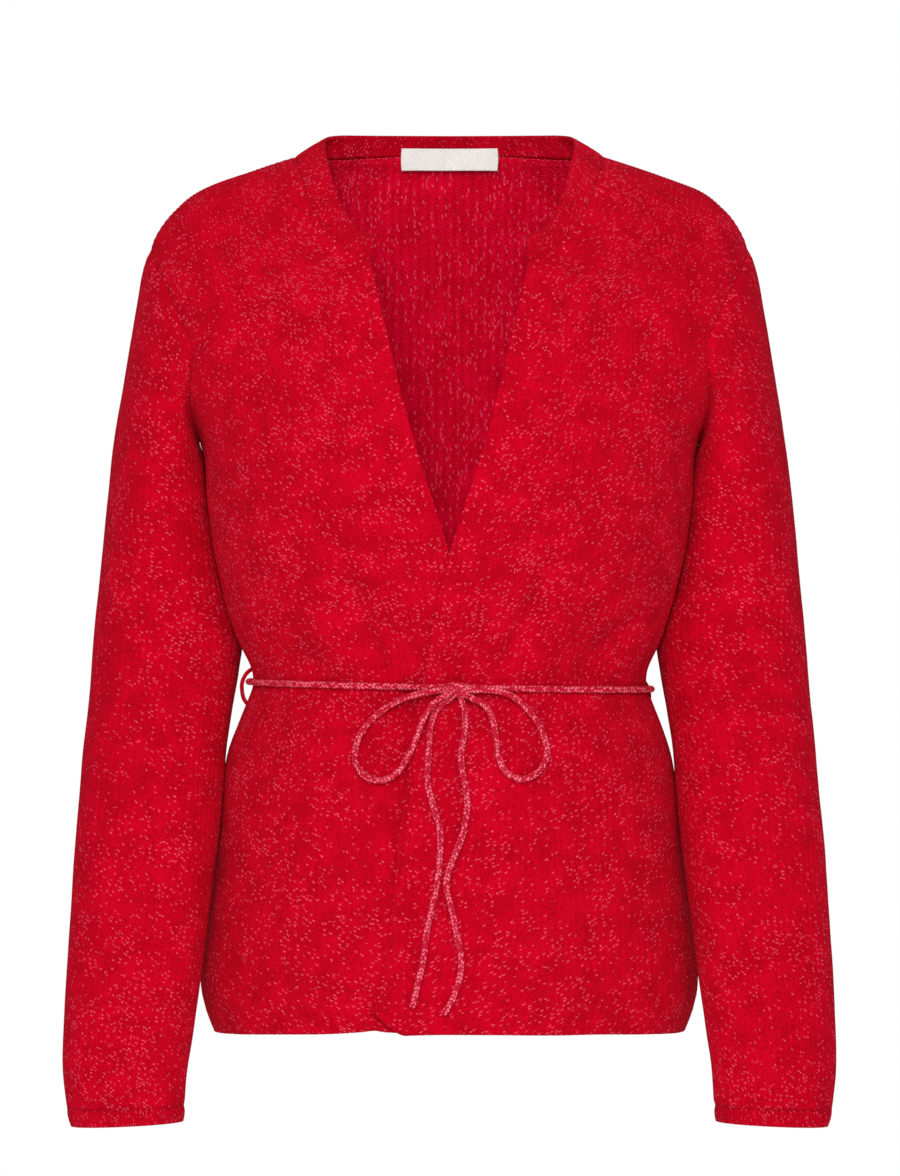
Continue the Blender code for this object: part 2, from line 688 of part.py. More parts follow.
def sleeve(name, flip):
    """A long sleeve from the armhole to its cuff seam."""
    rings, _, normal = sleeve_rings()
    sign = np.array([flip, 1.0, 1.0])
    outer = rings * sign
    inner = (rings - normal[:-1] * WALL) * sign
    return wall(name, outer, inner, True, RED)


def cuff(name, flip):
    """The narrow rib band at the wrist, parted from the sleeve by a seam gap."""
    rings, wrist, normal = sleeve_rings()
    first, last = rings[-1], wrist
    along = last - first
    along /= np.linalg.norm(along, axis=1, keepdims=True)
    outer = np.array([first + along * SEAM_GAP, (first + last) / 2, last])
    facing = np.array([normal[-2], (normal[-2] + normal[-1]) / 2, normal[-1]])
    sign = np.array([flip, 1.0, 1.0])
    return wall(name, outer * sign, (outer - facing * WALL) * sign, True, RED)


def neckband_half():
    """Seam and free edge of the left half of the neckband, with the cloth's direction at the seam."""
    front_seam = np.column_stack(neck_seam_front(ROWS_ON_NECK))
    back_seam = np.column_stack(back_neck_seam())[::-1]
    front_points, front_normal = cloth(front_seam[:, 0], front_seam[:, 1], "left")
    back_points, back_normal = cloth(back_seam[:, 0], back_seam[:, 1], "back")
    seam = np.concatenate([front_points, back_points[1:]])
    normal = np.concatenate([front_normal, back_normal[1:]])
    edge_front = even(np.array(NECK_EDGE_FRONT), ROWS_ON_NECK)
    edge_back = even(np.array(NECK_EDGE_BACK), BACK_NECK_COLUMNS)
    return seam, np.concatenate([edge_front, edge_back[1:]]), normal


def neckband(name):
    """The rib band that goes round the back neck and ends short of the front edges."""
    seam, edge, seam_normal = neckband_half()
    across = edge - seam
    across /= np.linalg.norm(across, axis=1, keepdims=True)
    shares = (0.0, 0.5, 1.0)
    start = seam + across * NECKBAND_GAP
    half = np.array([start + share * (edge - start) for share in shares])
    other = half[:, ::-1] * np.array([-1.0, 1.0, 1.0])
    whole = np.concatenate([half, other[:, 1:]], axis=1)
    normal = directions(whole, False)
    seam_whole = np.concatenate([seam_normal, seam_normal[::-1][1:] * np.array([-1.0, 1.0, 1.0])])
    normal[0] = seam_whole
    return wall(name, whole, whole - normal * WALL, False, RED)


def front_depth_at(across, height):
    """Where the outer cloth of the fronts lies, front to back, at a point seen from the front."""
    angle = front_angle(across, height)
    on_top = across > edge_x(height) - EDGE_CLIMB
    side = "left" if on_top else "right"
    points, normal = cloth(np.array([angle]), np.array([height]), side)
    return points[0], normal[0]


def cord_points(route):
    """A smooth cord centreline lying on the fronts, from its route seen from the front."""
    places = []
    for across, height, proud in route:
        point, normal = front_depth_at(across, height)
        lift = CORD_RADIUS + CORD_CLEARANCE + proud
        places.append((across, point[1] - lift, height))
    return np.array(places)


def tube(name, points, spacing, colour=CORD_RED, radius=CORD_RADIUS):
    """A cord of round section through the points of its centreline."""
    step = np.linalg.norm(np.diff(points, axis=0), axis=1).sum()
    path = even(even(points, 200), max(3, int(round(step / spacing))))
    curve = bpy.data.curves.new(name, "CURVE")
    curve.dimensions = "3D"
    curve.bevel_depth = radius * MM
    curve.bevel_resolution = 2
    curve.use_fill_caps = True
    spline = curve.splines.new("POLY")
    spline.points.add(len(path) - 1)
    for point, place in zip(spline.points, path):
        point.co = (*(float(c) * MM for c in place), 1.0)
    curve.materials.append(material(name, colour, 0.85))
    piece = bpy.data.objects.new(name, curve)
    bpy.context.scene.collection.objects.link(piece)
    return piece


def waist_points():
    """The belt's run round the waist, from the knot by the wearer's left and back to the knot."""
    start = front_angle(KNOT_CENTRE[0] + KNOT_RADII[0] + 0.8, WAIST_HEIGHT)
    end = 360.0 + front_angle(KNOT_CENTRE[0] - KNOT_RADII[0] - 0.8, WAIST_HEIGHT)
    angle = np.linspace(float(start), float(end), 120)
    height = WAIST_HEIGHT - WAIST_TILT * np.sin(np.radians(angle))
    turned = np.where(angle > 270.0, angle - 360.0, angle)
    points = []
    for a, z in zip(turned, height):
        base = torso(np.array([a]), np.array([z]))
        side = "back" if 90.0 < a < 270.0 else ("left" if base[0, 0] > edge_x(z) - EDGE_CLIMB else "right")
        place, normal = cloth(np.array([a]), np.array([z]), side)
        level = normal[0] * np.array([1.0, 1.0, 0.0])
        level /= np.linalg.norm(level)
        points.append(place[0] + level * (CORD_RADIUS + CORD_CLEARANCE + 0.3))
    return np.array(points)


def knot(name):
    """The bow's knot, a rounded lump that the cord's six ends meet."""
    point, _ = front_depth_at(KNOT_CENTRE[0], KNOT_CENTRE[1])
    made = bmesh.new()
    bmesh.ops.create_uvsphere(made, u_segments=16, v_segments=10, radius=1.0)
    for vert in made.verts:
        vert.co = [c * r * MM for c, r in zip(vert.co, KNOT_RADII)]
    mesh = bpy.data.meshes.new(name)
    made.to_mesh(mesh)
    made.free()
    mesh.shade_smooth()
    piece = add_object(name, mesh, CORD_RED, 0.85)
    depth = point[1] - CORD_CLEARANCE - KNOT_RADII[1] - KNOT_PROUD + 3.0
    piece.location = (KNOT_CENTRE[0] * MM, float(depth) * MM, KNOT_CENTRE[1] * MM)
    return piece


def carrier(name, side):
    """A thread loop near a side seam, standing out round the belt."""
    angle = CARRIER_ANGLES[side]
    belt_height = WAIST_HEIGHT - WAIST_TILT * np.sin(np.radians(angle))
    points = []
    for above, proud in CARRIER_ROUTE:
        panel = "back" if side == "left" else "right"
        place, normal = cloth(np.array([angle]), np.array([belt_height + above]), panel)
        points.append(place[0] + normal[0] * proud)
    return tube(name, np.array(points), 2.2, RED, CARRIER_RADIUS)


def label(name):
    """The blank woven label that hangs from the neckband at the centre back."""
    across = np.linspace(-LABEL_WIDTH / 2, LABEL_WIDTH / 2, 13)
    seam, edge, _ = neckband_half()
    hang = 0.35
    start = len(NECK_EDGE_FRONT) - 1
    path = seam[start:] + hang * (edge[start:] - seam[start:])
    order = np.argsort(path[:, 0])
    depth = np.interp(np.abs(across), path[order, 0], path[order, 1]) - WALL - LABEL_GAP
    top = np.full(13, -2.5)
    outer = np.array([
        np.column_stack([across, depth, top - LABEL_HEIGHT]),
        np.column_stack([across, depth, top]),
    ])
    facing = np.array([0.0, -1.0, 0.0])
    return wall(name, outer + facing * LABEL_THICKNESS, outer, False, LABEL_WHITE)


def clear_scene():
    """Removes what the scene holds."""
    for piece in list(bpy.data.objects):
        bpy.data.objects.remove(piece, do_unlink=True)


def main():
    clear_scene()
    front("left_front", "left")
    front("right_front", "right")
    back("back")
    for side, flip in (("left", 1.0), ("right", -1.0)):
        sleeve(side + "_sleeve", flip)
        cuff(side + "_cuff", flip)
        carrier(side + "_carrier", side)
    neckband("neckband")
    label("label")
    tube("belt_waist", waist_points(), 9.5)
    tube("belt_bow_left", cord_points(BOW_LEFT_ROUTE), 7.0)
    tube("belt_bow_right", cord_points(BOW_RIGHT_ROUTE), 7.0)
    tube("belt_tail_left", cord_points(TAIL_LEFT_ROUTE), 9.0)
    tube("belt_tail_right", cord_points(TAIL_RIGHT_ROUTE), 9.0)
    knot("belt_knot")


main()
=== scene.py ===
"""Looks of the wrap cardigan: knitted panels, a tubular cord tied in a bow, and a plain stage.

Sizes are in millimetres and MM turns them into Blender's metres. The front faces -Y, and the
wearer's left is at +X. An angle goes round the body: 0 at the centre front, 90 at the wearer's
left side and 180 at the centre back. The shapes repeat the solids' own tables with finer grids.
"""

import bpy
import numpy as np
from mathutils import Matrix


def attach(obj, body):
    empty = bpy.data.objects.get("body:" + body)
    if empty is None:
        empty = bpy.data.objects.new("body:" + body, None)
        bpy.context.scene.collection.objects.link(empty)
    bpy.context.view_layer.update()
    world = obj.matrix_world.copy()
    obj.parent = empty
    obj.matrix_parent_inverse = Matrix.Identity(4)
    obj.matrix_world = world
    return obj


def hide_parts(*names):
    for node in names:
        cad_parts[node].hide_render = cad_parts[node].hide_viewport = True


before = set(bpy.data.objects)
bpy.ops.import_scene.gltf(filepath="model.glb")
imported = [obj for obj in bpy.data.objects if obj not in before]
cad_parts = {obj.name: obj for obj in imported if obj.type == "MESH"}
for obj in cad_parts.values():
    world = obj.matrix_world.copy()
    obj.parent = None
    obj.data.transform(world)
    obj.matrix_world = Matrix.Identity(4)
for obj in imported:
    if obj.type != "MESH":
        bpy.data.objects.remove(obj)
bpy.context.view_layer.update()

MM = 0.001
MIRROR = np.array([-1.0, 1.0, 1.0])
TURN_OVER = np.array([-1.0, 1.0])
WHITE = (1.0, 1.0, 1.0, 1.0)

# Cloth and cord
WALL = 2.5
SEAM_GAP = 0.08
LAYER_GAP = 1.0
CONTACT_GAP = 0.6
CORD_RADIUS = 2.2
CORD_CLEARANCE = 0.5
EDGE_CLIMB = 9.0
LABEL_WIDTH = 65.0
LABEL_HEIGHT = 15.0
LABEL_THICKNESS = 0.7
LABEL_GAP = 0.5
LABEL_HANG = 0.35
LABEL_TOP = -2.5
LABEL_BOW = 0.5
LABEL_RIPPLE = 0.25
LABEL_SAG = 0.35

# Grid of the cloth, in rows and columns
ROWS_TO_WAIST = 40
ROWS_TO_UNDERARM = 28
ROWS_TO_V = 16
UNDERARM_ROW = ROWS_TO_WAIST + ROWS_TO_UNDERARM
ROWS_ON_NECK = 28
ROWS_ON_ARMHOLE = ROWS_TO_V + ROWS_ON_NECK
FRONT_COLUMNS = 306
BACK_NECK_COLUMNS = 116
BACK_SHOULDER_COLUMNS = 100
SLEEVE_ROWS = 126
SLEEVE_COLUMNS_HALF = 180
CUFF_ROWS = 8
BAND_ROWS = 10
BAND_FRONT_COLUMNS = 250
BAND_BACK_COLUMNS = 300
ROW_CROWDING = 1.5

# Shape of the armhole
ARMHOLE_HOLLOW = 32.0
ARMHOLE_LOW_CURVE = 1.35
ARMHOLE_HIGH_CURVE = 1.9

# Heights of the key rows
HEM_HEIGHT = -597.0
WAIST_HEIGHT = -366.0
UNDERARM_EDGE_HEIGHT = -215.0
V_TOP_HEIGHT = -86.0
ARMHOLE_TOP = -73.0
ARMHOLE_BOTTOM = -203.0
NECK_POINT_HEIGHT = -12.0
NECK_BACK_RISE = 5.7

BODY_COLUMNS = ("height", "half_width", "front_depth", "back_depth", "fullness")
BODY = (
    (-604, 155, 110, 106, 2.2),
    (-597, 157.5, 111, 107, 2.2),
    (-588, 161, 113, 109, 2.2),
    (-576, 164.6, 114.5, 110.5, 2.2),
    (-562, 166.3, 115, 110.5, 2.2),
    (-543, 164.6, 115, 109.5, 2.2),
    (-510, 160.3, 113.5, 107, 2.2),
    (-476, 156.2, 111.5, 103.5, 2.18),
    (-436, 152.2, 107.5, 98.5, 2.15),
    (-409, 147.4, 102.5, 93.5, 2.12),
    (-389, 140.4, 97, 88.5, 2.1),
    (-375, 134.8, 92.2, 83.2, 2.1),
    (-366, 131.8, 91.3, 82.3, 2.1),
    (-358, 131.8, 92.4, 83, 2.1),
    (-336, 141, 99.5, 87.5, 2.12),
    (-309, 150, 108, 91.5, 2.16),
    (-282, 156.3, 115.5, 95, 2.2),
    (-242, 162.6, 121.5, 99, 2.22),
    (-203, 167, 121.5, 101, 2.2),
    (-175, 183, 115.5, 101, 2.15),
    (-140, 199, 104.5, 98, 2.08),
    (-100, 205, 87.5, 91.5, 2.03),
    (-74, 200, 72, 83.5, 2.0),
    (-61, 194.5, 64, 79, 2.0),
    (-48, 184.5, 55.5, 73.5, 2.0),
    (-34, 166, 46.5, 68, 2.0),
    (-21, 131, 37, 64, 2.0),
    (-12, 103.5, 26, 61, 2.0),
    (-4, 79, 20, 58, 2.0),
)

# The free edge of the left front, from the hem to the foot of the neck curve. The right front
# has the same edge mirrored.
SEAM_COLUMNS = ("height", "across")
EDGE = (
    (-600, -50), (-577, -49), (-555, -44), (-536, -41), (-497, -36), (-448, -31.5), (-428, -28),
    (-381, -22.5), (-362, -17.5), (-341, -14), (-309, -8), (-277, 0.5), (-203, 23.8), (-137, 40.2),
    (-107, 47.3), (-86, 52),
)

# The neck seam on the left front, from the foot of the neck curve to the neck point
NECK_SEAM = (
    (-86, 52), (-79.5, 64.5), (-71.5, 74.5), (-61, 83.5), (-45, 92.5), (-29, 98), (-17, 102.2),
    (-12, 103.5),
)

# The neckband's free edge, from its front end over the neck point to the centre back. Each point
# is its distance across, its depth and its height.
NECK_EDGE_FRONT = (
    (49.2, -62, -67.5), (57, -60.5, -65.5), (64, -56, -58.5), (70.5, -50.5, -48.5), (76, -41, -34.5),
    (80.8, -27, -18), (83.3, -13, -7), (84, 0, 0),
)
NECK_EDGE_BACK = (
    (84, 0, 0), (81.5, 15, 3), (74, 29, 4.8), (60, 41, 5.6), (42, 48.5, 6), (22, 52, 6.2), (0, 53, 6.2),
)

# Soft folds in the fronts and the back. Each runs from a low to a high point, seen from outside,
# with the wearer's left at positive x. A positive rise stands out and a negative one sinks in. The
# columns are low x, low z, high x, high z, width and rise.
FRONT_FOLDS = (
    (-44, -358, -80, -262, 8, -4.5),
    (-60, -358, -100, -300, 11, 3),
    (-84, -353, -138, -333, 6, -3.5),
    (-116, -350, -145, -300, 12, 2.5),
    (33, -358, 79, -268, 8, -4),
    (55, -358, 92, -290, 11, 3),
    (88, -358, 134, -306, 9, -4.5),
    (118, -356, 140, -318, 9, 2),
    (-98, -374, -96, -425, 13, 2.5),
    (-56, -374, -80, -510, 12, -3),
    (60, -374, 66, -470, 12, -2.5),
    (98, -374, 104, -440, 12, 2),
)
BACK_FOLDS = (
    (-100, -357, -126, -300, 9, -3.5),
    (-66, -357, -84, -270, 9, -4),
    (-28, -357, -34, -285, 8, -3),
    (10, -357, 12, -262, 9, -3.5),
    (46, -357, 60, -290, 8, -3),
    (84, -357, 108, -275, 9, -4),
    (-82, -375, -88, -450, 12, -2.5),
    (-20, -375, -16, -480, 12, -2.5),
    (58, -375, 68, -440, 12, -2.5),
)

# Rings of the left sleeve from the armhole to the wrist: x and z of its outermost and innermost
# points seen from the front, half its depth, the middle of its depth, and its fullness.
SLEEVE = (
    (199.5, -73, 168.5, -203, 52, 0, 2.0),
    (203, -81, 168.2, -203.6, 52.5, 0, 2.0),
    (206.5, -93, 167.8, -207.5, 53, 1.5, 2.0),
    (210, -112, 165, -213.5, 54, 4.5, 2.0),
    (215.8, -144, 162.6, -222, 55, 8.5, 2.05),
    (221.8, -180, 160.4, -232, 55.5, 13, 2.1),
    (227.1, -216, 158, -247, 55.5, 19, 2.15),
    (231.3, -249, 154.6, -266, 54, 24, 2.2),
    (234.2, -276, 151.2, -285, 51.5, 27, 2.2),
    (236.6, -302, 146.2, -307, 48, 26.5, 2.2),
    (238.9, -328, 139.2, -331, 43.5, 22.5, 2.2),
    (240.7, -354, 141.8, -356, 40.5, 14, 2.2),
    (242.5, -380, 145.4, -381, 39, 3, 2.2),
    (244.8, -409, 149.4, -410, 38, -9.5, 2.2),
    (246.8, -438, 150.8, -439, 37, -21.5, 2.2),
    (248.6, -467, 153.4, -468, 36, -31.5, 2.2),
    (250.2, -497, 157, -498, 35, -39, 2.2),
    (251.8, -528, 160.9, -529, 33.5, -45, 2.2),
    (253.8, -560, 165, -560.5, 32, -49, 2.2),
    (255.2, -591.5, 169.2, -591.5, 30.5, -52, 2.2),
    (255.6, -619.2, 173.4, -618.4, 29, -54, 2.2),
    (253, -644.6, 175.2, -642.6, 27.5, -55.5, 2.2),
)
# How much of the armhole's own shape the sleeve's first rows keep
ARMHOLE_BLEND = (1.0, 0.92, 0.78, 0.55, 0.30, 0.12, 0.03)
# The cuff's end: x and z of its inner and outer points, half its depth and its middle's y
WRIST_X = (176.0, 250.0)
WRIST_Z = (-652.9, -656.3)
WRIST_HALF_DEPTH = 26.5
WRIST_MIDDLE_Y = -56.0

# Routes of the cord, seen from the front: across, height, and how far it stands off the cloth
# that it would lie on.
BOW_LEFT_ROUTE = (
    (13.4, -367.6, 5.4), (26.4, -367.4, 5.6), (36.4, -369.4, 5.2), (46.7, -376, 2.8),
    (55.2, -385.6, 0.9), (62.2, -399, 0.3), (63.6, -410.5, 0.3), (57.8, -421, 0.3), (47, -425.4, 0.3),
    (37, -421.2, 0.3), (32.2, -411.7, 0.3), (30.2, -400, 0.6), (28.2, -387.5, 1.6), (22.4, -376.8, 4),
    (12.6, -371.8, 6.4),
)
BOW_RIGHT_ROUTE = (
    (-5, -367.6, 5.4), (-14.5, -368.8, 5.5), (-28, -372.2, 4.2), (-43, -380.2, 1.6), (-54.5, -391, 0.4),
    (-61.2, -403.9, 0.3), (-61.7, -413.5, 0.3), (-56.5, -422.8, 0.3), (-47.3, -426.5, 0.3),
    (-35.8, -422.5, 0.5), (-26.8, -410.4, 1.4), (-21.4, -398, 3), (-16, -384.5, 5.2),
    (-9.4, -375.2, 6.4), (-4, -371.8, 6.6),
)
TAIL_RIGHT_ROUTE = (
    (0.2, -373, 1.2), (-7, -378.6, 0.6), (-12, -389.5, 0.3), (-13.6, -407.8, 0.3), (-14.2, -428, 0.3),
    (-10.8, -442.4, 0.3), (-6.6, -457.4, 0.3), (-6.4, -477.7, 0.3), (-8.2, -493.3, 0.3),
    (-11, -507.7, 0.3), (-14.7, -524, 0.3), (-17.3, -543, 0.3), (-19.9, -555.4, 0.3),
    (-24.4, -574, 0.3),
)
TAIL_LEFT_ROUTE = (
    (7.6, -373.2, 1.2), (10.1, -382.5, 0.5), (10.1, -392.8, 0.3), (7.5, -407.8, 0.3),
    (8.2, -419.5, 0.3), (11.4, -435.9, 0.3), (10.8, -449.6, 0.3), (7.5, -464.6, 0.5), (2.4, -477, 1.6),
    (-1.4, -487.5, 2.4), (-2, -493.3, 2.4), (1, -507.7, 1.4), (4.2, -524, 0.5), (7.5, -543, 0.3),
    (6.2, -555.4, 0.3), (1.6, -569, 0.3), (-4, -578.5, 0.3),
)
# The bow's knot: one strand joins the two bows' upper ends, one their lower ends, one rises from the
# left tail, and two lead on from the belt's ends.
KNOT_ROUTES = (
    ((13.4, -367.6, 5.4), (11.0, -366.7, 5.2), (7.5, -365.8, 5.0), (4.0, -366.2, 5.8),
     (0.8, -368.2, 6.6), (-1.8, -370.3, 6.8), (-4.0, -371.8, 6.6)),
    ((12.6, -371.8, 6.4), (9.8, -369.6, 5.4), (6.5, -367.8, 3.4), (2.5, -367.0, 3.0),
     (-1.5, -367.2, 4.4), (-5.0, -367.6, 5.4)),
    ((7.6, -373.2, 1.2), (8.3, -371.0, 1.8), (7.6, -368.8, 2.2), (6.0, -367.6, 2.0)),
)
KNOT_FROM_RIGHT = (
    (-2.0, -365.2, 2.8), (2.0, -364.4, 5.6), (6.0, -364.6, 7.2), (8.9, -366.6, 6.6),
    (8.2, -369.4, 4.6), (5.2, -370.2, 3.2), (3.0, -369.0, 1.6),
)
KNOT_FROM_LEFT = (
    (11.0, -365.8, 1.8), (7.5, -366.8, 3.6), (4.2, -369.2, 3.6), (1.6, -371.6, 2.2), (0.2, -373.0, 1.2),
)
# How far across the knot lies, and how far from there the run round the waist begins and ends
KNOT_CENTRE = 4.2
KNOT_REACH = 9.2
WAIST_TILT = 2.5
BELT_STAND = 0.3
KNOT_RADIUS = 2.15

# The left front's hem corner stands off the right front, which dips just beyond it
CORNER = (-46.0, -596.0)
CORNER_SPREAD = 15.0
CORNER_LIFT = 3.4
DIP = (-52.0, -594.0)
DIP_SPREAD = 12.0
CORNER_DIP = 3.5

# Both fronts sink softly along the left front's edge
GROOVE_OFFSET = 0.5
GROOVE_WIDTH = 5.0
GROOVE_DEPTH = 2.6

# A belt carrier: each point's height above the belt, and how far it stands off the cloth
CARRIER_ROUTE = (
    (8.5, -0.6), (6.8, 3.2), (2, 6.6), (-3, 7.4), (-8.5, 5.8), (-12.8, 2.6), (-14.8, -0.6),
)
CARRIER_RADIUS = 1.45
CARRIER_ANGLES = {"left": 108.0, "right": -90.0}

# Look of the knit, in millimetres: pitch of a course, relief of a rib and how seams draw in
COURSE = 2.8
RIB_RELIEF = 0.15
INNER_RIB_RELIEF = 0.35
FRONT_RIBS = 51
FIRST_PITCH = 5.0
BACK_HALF_RIBS = 36
SLEEVE_RIBS = 60
SEAM_ROLL = 0.35
SEAM_ROLL_WIDTH = 2.2
HEM_LINE_UP = 22.0
HEM_LINE_WIDTH = 1.6
HEM_LINE_DEPTH = 0.55
SETTLE = 0.5
BAND_RIB_PITCH = 2.6
CUFF_RIBS = 90
CUFF_LENGTH = 12.0
CUFF_SWELL = 0.5
BAND_SWELL = 0.6
RIB_WANDER = 0.10
EDGE_TURN_FROM = 10.0
EDGE_TURN_TO = 100.0
STITCH_LENGTH = 2.5
LINK_PITCH = 4.2
LINK_RINGS = 5
LINK_SIDES = 6
CORD_COLUMNS = 4
CORD_SIDES = 16
CORD_STEP = 0.7
TIP_LENGTH = 1.6
TIP_RIDGE = 0.35
TIP_RIDGE_BACK = 3.0
TIP_RIDGE_WIDTH = 0.9

# Colours, all linear
KNIT_DARK = (0.42, 0.0003, 0.009, 1.0)
KNIT_LIGHT = (0.63, 0.0006, 0.017, 1.0)
# Painted fill light: the inside's colours are lighter than the outside's, to brighten the shade within the
# garment
LINING_DARK_PAINTED_FILL = (0.60, 0.0006, 0.018, 1.0)
LINING_LIGHT_PAINTED_FILL = (0.84, 0.0018, 0.036, 1.0)
# Painted shade: the knit is darkened towards this colour in its rib troughs
KNIT_TROUGH_SHADE = (0.31, 0.0002, 0.008, 1.0)
FLECK = (1.0, 0.105, 0.195, 1.0)
CORD_DARK = (0.36, 0.0006, 0.012, 1.0)
CORD_MID = (0.66, 0.008, 0.040, 1.0)
CORD_PALE = (1.0, 0.20, 0.28, 1.0)
LABEL_LIGHT = (0.97, 0.95, 0.92, 1.0)
LABEL_SHADE = (0.92, 0.90, 0.86, 1.0)
SHEEN = (1.0, 0.06, 0.10, 1.0)
SHEEN_ROUGHNESS = 0.5
SPECULAR = 0.03
THREAD = (0.85, 0.12, 0.20, 1.0)

# Camera, floor and lights, in metres
CAMERA_PLACE = (0.0003, -4.0, -0.3008)
CAMERA_LENS = 182.7
FLOOR_HEIGHT = -1.4
FLOOR_HALF = 3.0
LIGHT_TARGET = (0.0, 0.0, -0.35)
WORLD_LIGHT = 0.34
LIGHTS = (
    ("key", (-0.35, -2.4, 0.95), 1.2, 21.0),
    ("fill", (1.4, -3.0, 0.4), 1.8, 8.0),
    ("front", (-0.1, -4.2, 0.55), 1.1, 68.0),
    ("top", (0.0, 0.2, 2.4), 1.6, 10.0),
)


def unit(ways):
    """Directions of length one."""
    return ways / np.linalg.norm(ways, axis=-1, keepdims=True)


def path_along(points):
    """Distance along a path at each of its points."""
    return np.concatenate([[0.0], np.cumsum(np.linalg.norm(np.diff(points, axis=0), axis=1))])


def column(table, names, name):
    """One named column of a table, as an array."""
    return np.array([row[names.index(name)] for row in table])


def smooth(at, known, values):
    """A smooth curve through the values, read at the given places."""
    at = np.asarray(at, dtype=float)
    slopes = np.gradient(values, known)
    i = np.clip(np.searchsorted(known, at) - 1, 0, len(known) - 2)
    step = known[i + 1] - known[i]
    t = np.clip((at - known[i]) / step, 0.0, 1.0)
    rise = (2 * t**3 - 3 * t**2 + 1) * values[i] + (3 * t**2 - 2 * t**3) * values[i + 1]
    lean = (t**3 - 2 * t**2 + t) * slopes[i] + (t**3 - t**2) * slopes[i + 1]
    return rise + lean * step


def ease(value, low, high):
    """0 below low, 1 above high and a soft step between them."""
    t = np.clip((value - low) / (high - low), 0.0, 1.0)
    return t * t * (3 - 2 * t)


def read(table, names, name, height):
    """One named column of a table, read at a height."""
    return smooth(height, column(table, names, "height"), column(table, names, name))


def body(name, height):
    """One of the body's sizes at a height."""
    return read(BODY, BODY_COLUMNS, name, height)


def torso(angle, height):
    """Points of the body's outline, round it by angle and up it by height."""
    s, c = np.sin(np.radians(angle)), np.cos(np.radians(angle))
    n = body("fullness", height)
    reach = (np.abs(s) ** n + np.abs(c) ** n) ** (-1.0 / n)
    depth = np.where(c > 0, body("front_depth", height), body("back_depth", height))
    return np.stack([body("half_width", height) * reach * s, -depth * reach * c, height + 0.0 * s], axis=-1)


def outward(angle, height):
    """The body's outward direction at each point."""
    turn, rise = 0.5, 0.5
    across = torso(angle + turn, height) - torso(angle - turn, height)
    up = torso(angle, height + rise) - torso(angle, height - rise)
    return unit(np.cross(across, up))


def front_angle(across, height):
    """The angle of a point on the front that lies that far across."""
    n = body("fullness", height)
    s = np.clip(across / body("half_width", height), -1.0, 1.0)
    return np.degrees(np.arctan2(s, (1 - np.abs(s) ** n) ** (1.0 / n)))


def folds(points, table):
    """How far the cloth stands out or sinks in at each point."""
    x, z = points[..., 0], points[..., 2]
    total = np.zeros_like(x)
    for low_x, low_z, high_x, high_z, width, rise in table:
        run = np.array([high_x - low_x, high_z - low_z])
        length = np.hypot(*run)
        along = ((x - low_x) * run[0] + (z - low_z) * run[1]) / length
        aside = ((x - low_x) * run[1] - (z - low_z) * run[0]) / length
        fade = ease(along, -8.0, 6.0) * (1 - ease(along, 0.35 * length, 1.1 * length))
        total += rise * fade * np.exp(-((aside / width) ** 2))
    return total


def edge_x(height):
    """How far across the left front's free edge lies at a height."""
    return read(EDGE, SEAM_COLUMNS, "across", height)


def overlap_lift(points):
    """How far the left front stands off the body, so that it lies on the right front."""
    x, z = points[..., 0], points[..., 2]
    beyond = x + edge_x(np.minimum(z, V_TOP_HEIGHT))
    below = 1 - ease(z, -255.0, -195.0)
    return (WALL + LAYER_GAP) * below * (1 - ease(beyond, 14.0, 62.0))


def near_corner(points, centre, spread):
    """A round bump, one at its centre, seen from the front."""
    away = (points[..., 0] - centre[0]) ** 2 + (points[..., 2] - centre[1]) ** 2
    return np.exp(-away / (2 * spread**2)) * (points[..., 1] < 0.0)


def beside_edge(points):
    """How far both fronts sink along the left front's edge."""
    x, y, z = points[..., 0], points[..., 1], points[..., 2]
    off = x - edge_x(np.minimum(z, V_TOP_HEIGHT)) + GROOVE_OFFSET
    below = 1 - ease(z, -300.0, -255.0)
    return GROOVE_DEPTH * np.exp(-((off / GROOVE_WIDTH) ** 2)) * below * (y < 0.0)


def cloth(angle, height, side):
    """A piece's outer points and outward directions. Side is left, right or back."""
    base, normal = torso(angle, height), outward(angle, height)
    table = BACK_FOLDS if side == "back" else FRONT_FOLDS
    stand = folds(base, table)
    if side == "left":
        stand = stand + overlap_lift(base) + CORNER_LIFT * near_corner(base, CORNER, CORNER_SPREAD)
    if side == "right":
        stand = stand - CORNER_DIP * near_corner(base, DIP, DIP_SPREAD)
    if side != "back":
        stand = stand - beside_edge(base)
    return base + normal * stand[..., None], normal


def cloth_at(angle, height, side):
    """One outer point of a piece and its outward direction."""
    points, normal = cloth(np.array([angle]), np.array([height]), side)
    return points[0], normal[0]


def belt_height(angle):
    """The belt hangs a little lower at the wearer's left than at their right."""
    return WAIST_HEIGHT - WAIST_TILT * np.sin(np.radians(angle))


def even_on_body(angle, height, count):
    """Angle and height of evenly spaced points along a path on the body."""
    along = path_along(torso(angle, height))
    at = np.linspace(0.0, along[-1], count + 1)
    return np.interp(at, along, angle), np.interp(at, along, height)


def armhole(half, count=ROWS_ON_ARMHOLE):
    """Angle and height of the left armhole, from its bottom to its top, at front or back."""
    rise = np.sin(np.linspace(-np.pi / 2, np.pi / 2, 200))
    power = np.where(rise < 0, ARMHOLE_LOW_CURVE, ARMHOLE_HIGH_CURVE)
    hollow = ARMHOLE_HOLLOW * (1 - np.abs(rise) ** power) ** (1 / power) * (1 - 0.12 * rise)
    middle = (ARMHOLE_TOP + ARMHOLE_BOTTOM) / 2
    height = middle + (ARMHOLE_TOP - ARMHOLE_BOTTOM) / 2 * rise
    angle = 90.0 - hollow if half == "front" else 90.0 + hollow
    return even_on_body(angle, height, count)


def even(points, count):
    """The same path with its points evenly spaced."""
    along = path_along(points)
    at = np.linspace(0.0, along[-1], count + 1)
    return np.stack([smooth(at, along, points[:, i]) for i in range(points.shape[1])], axis=1)


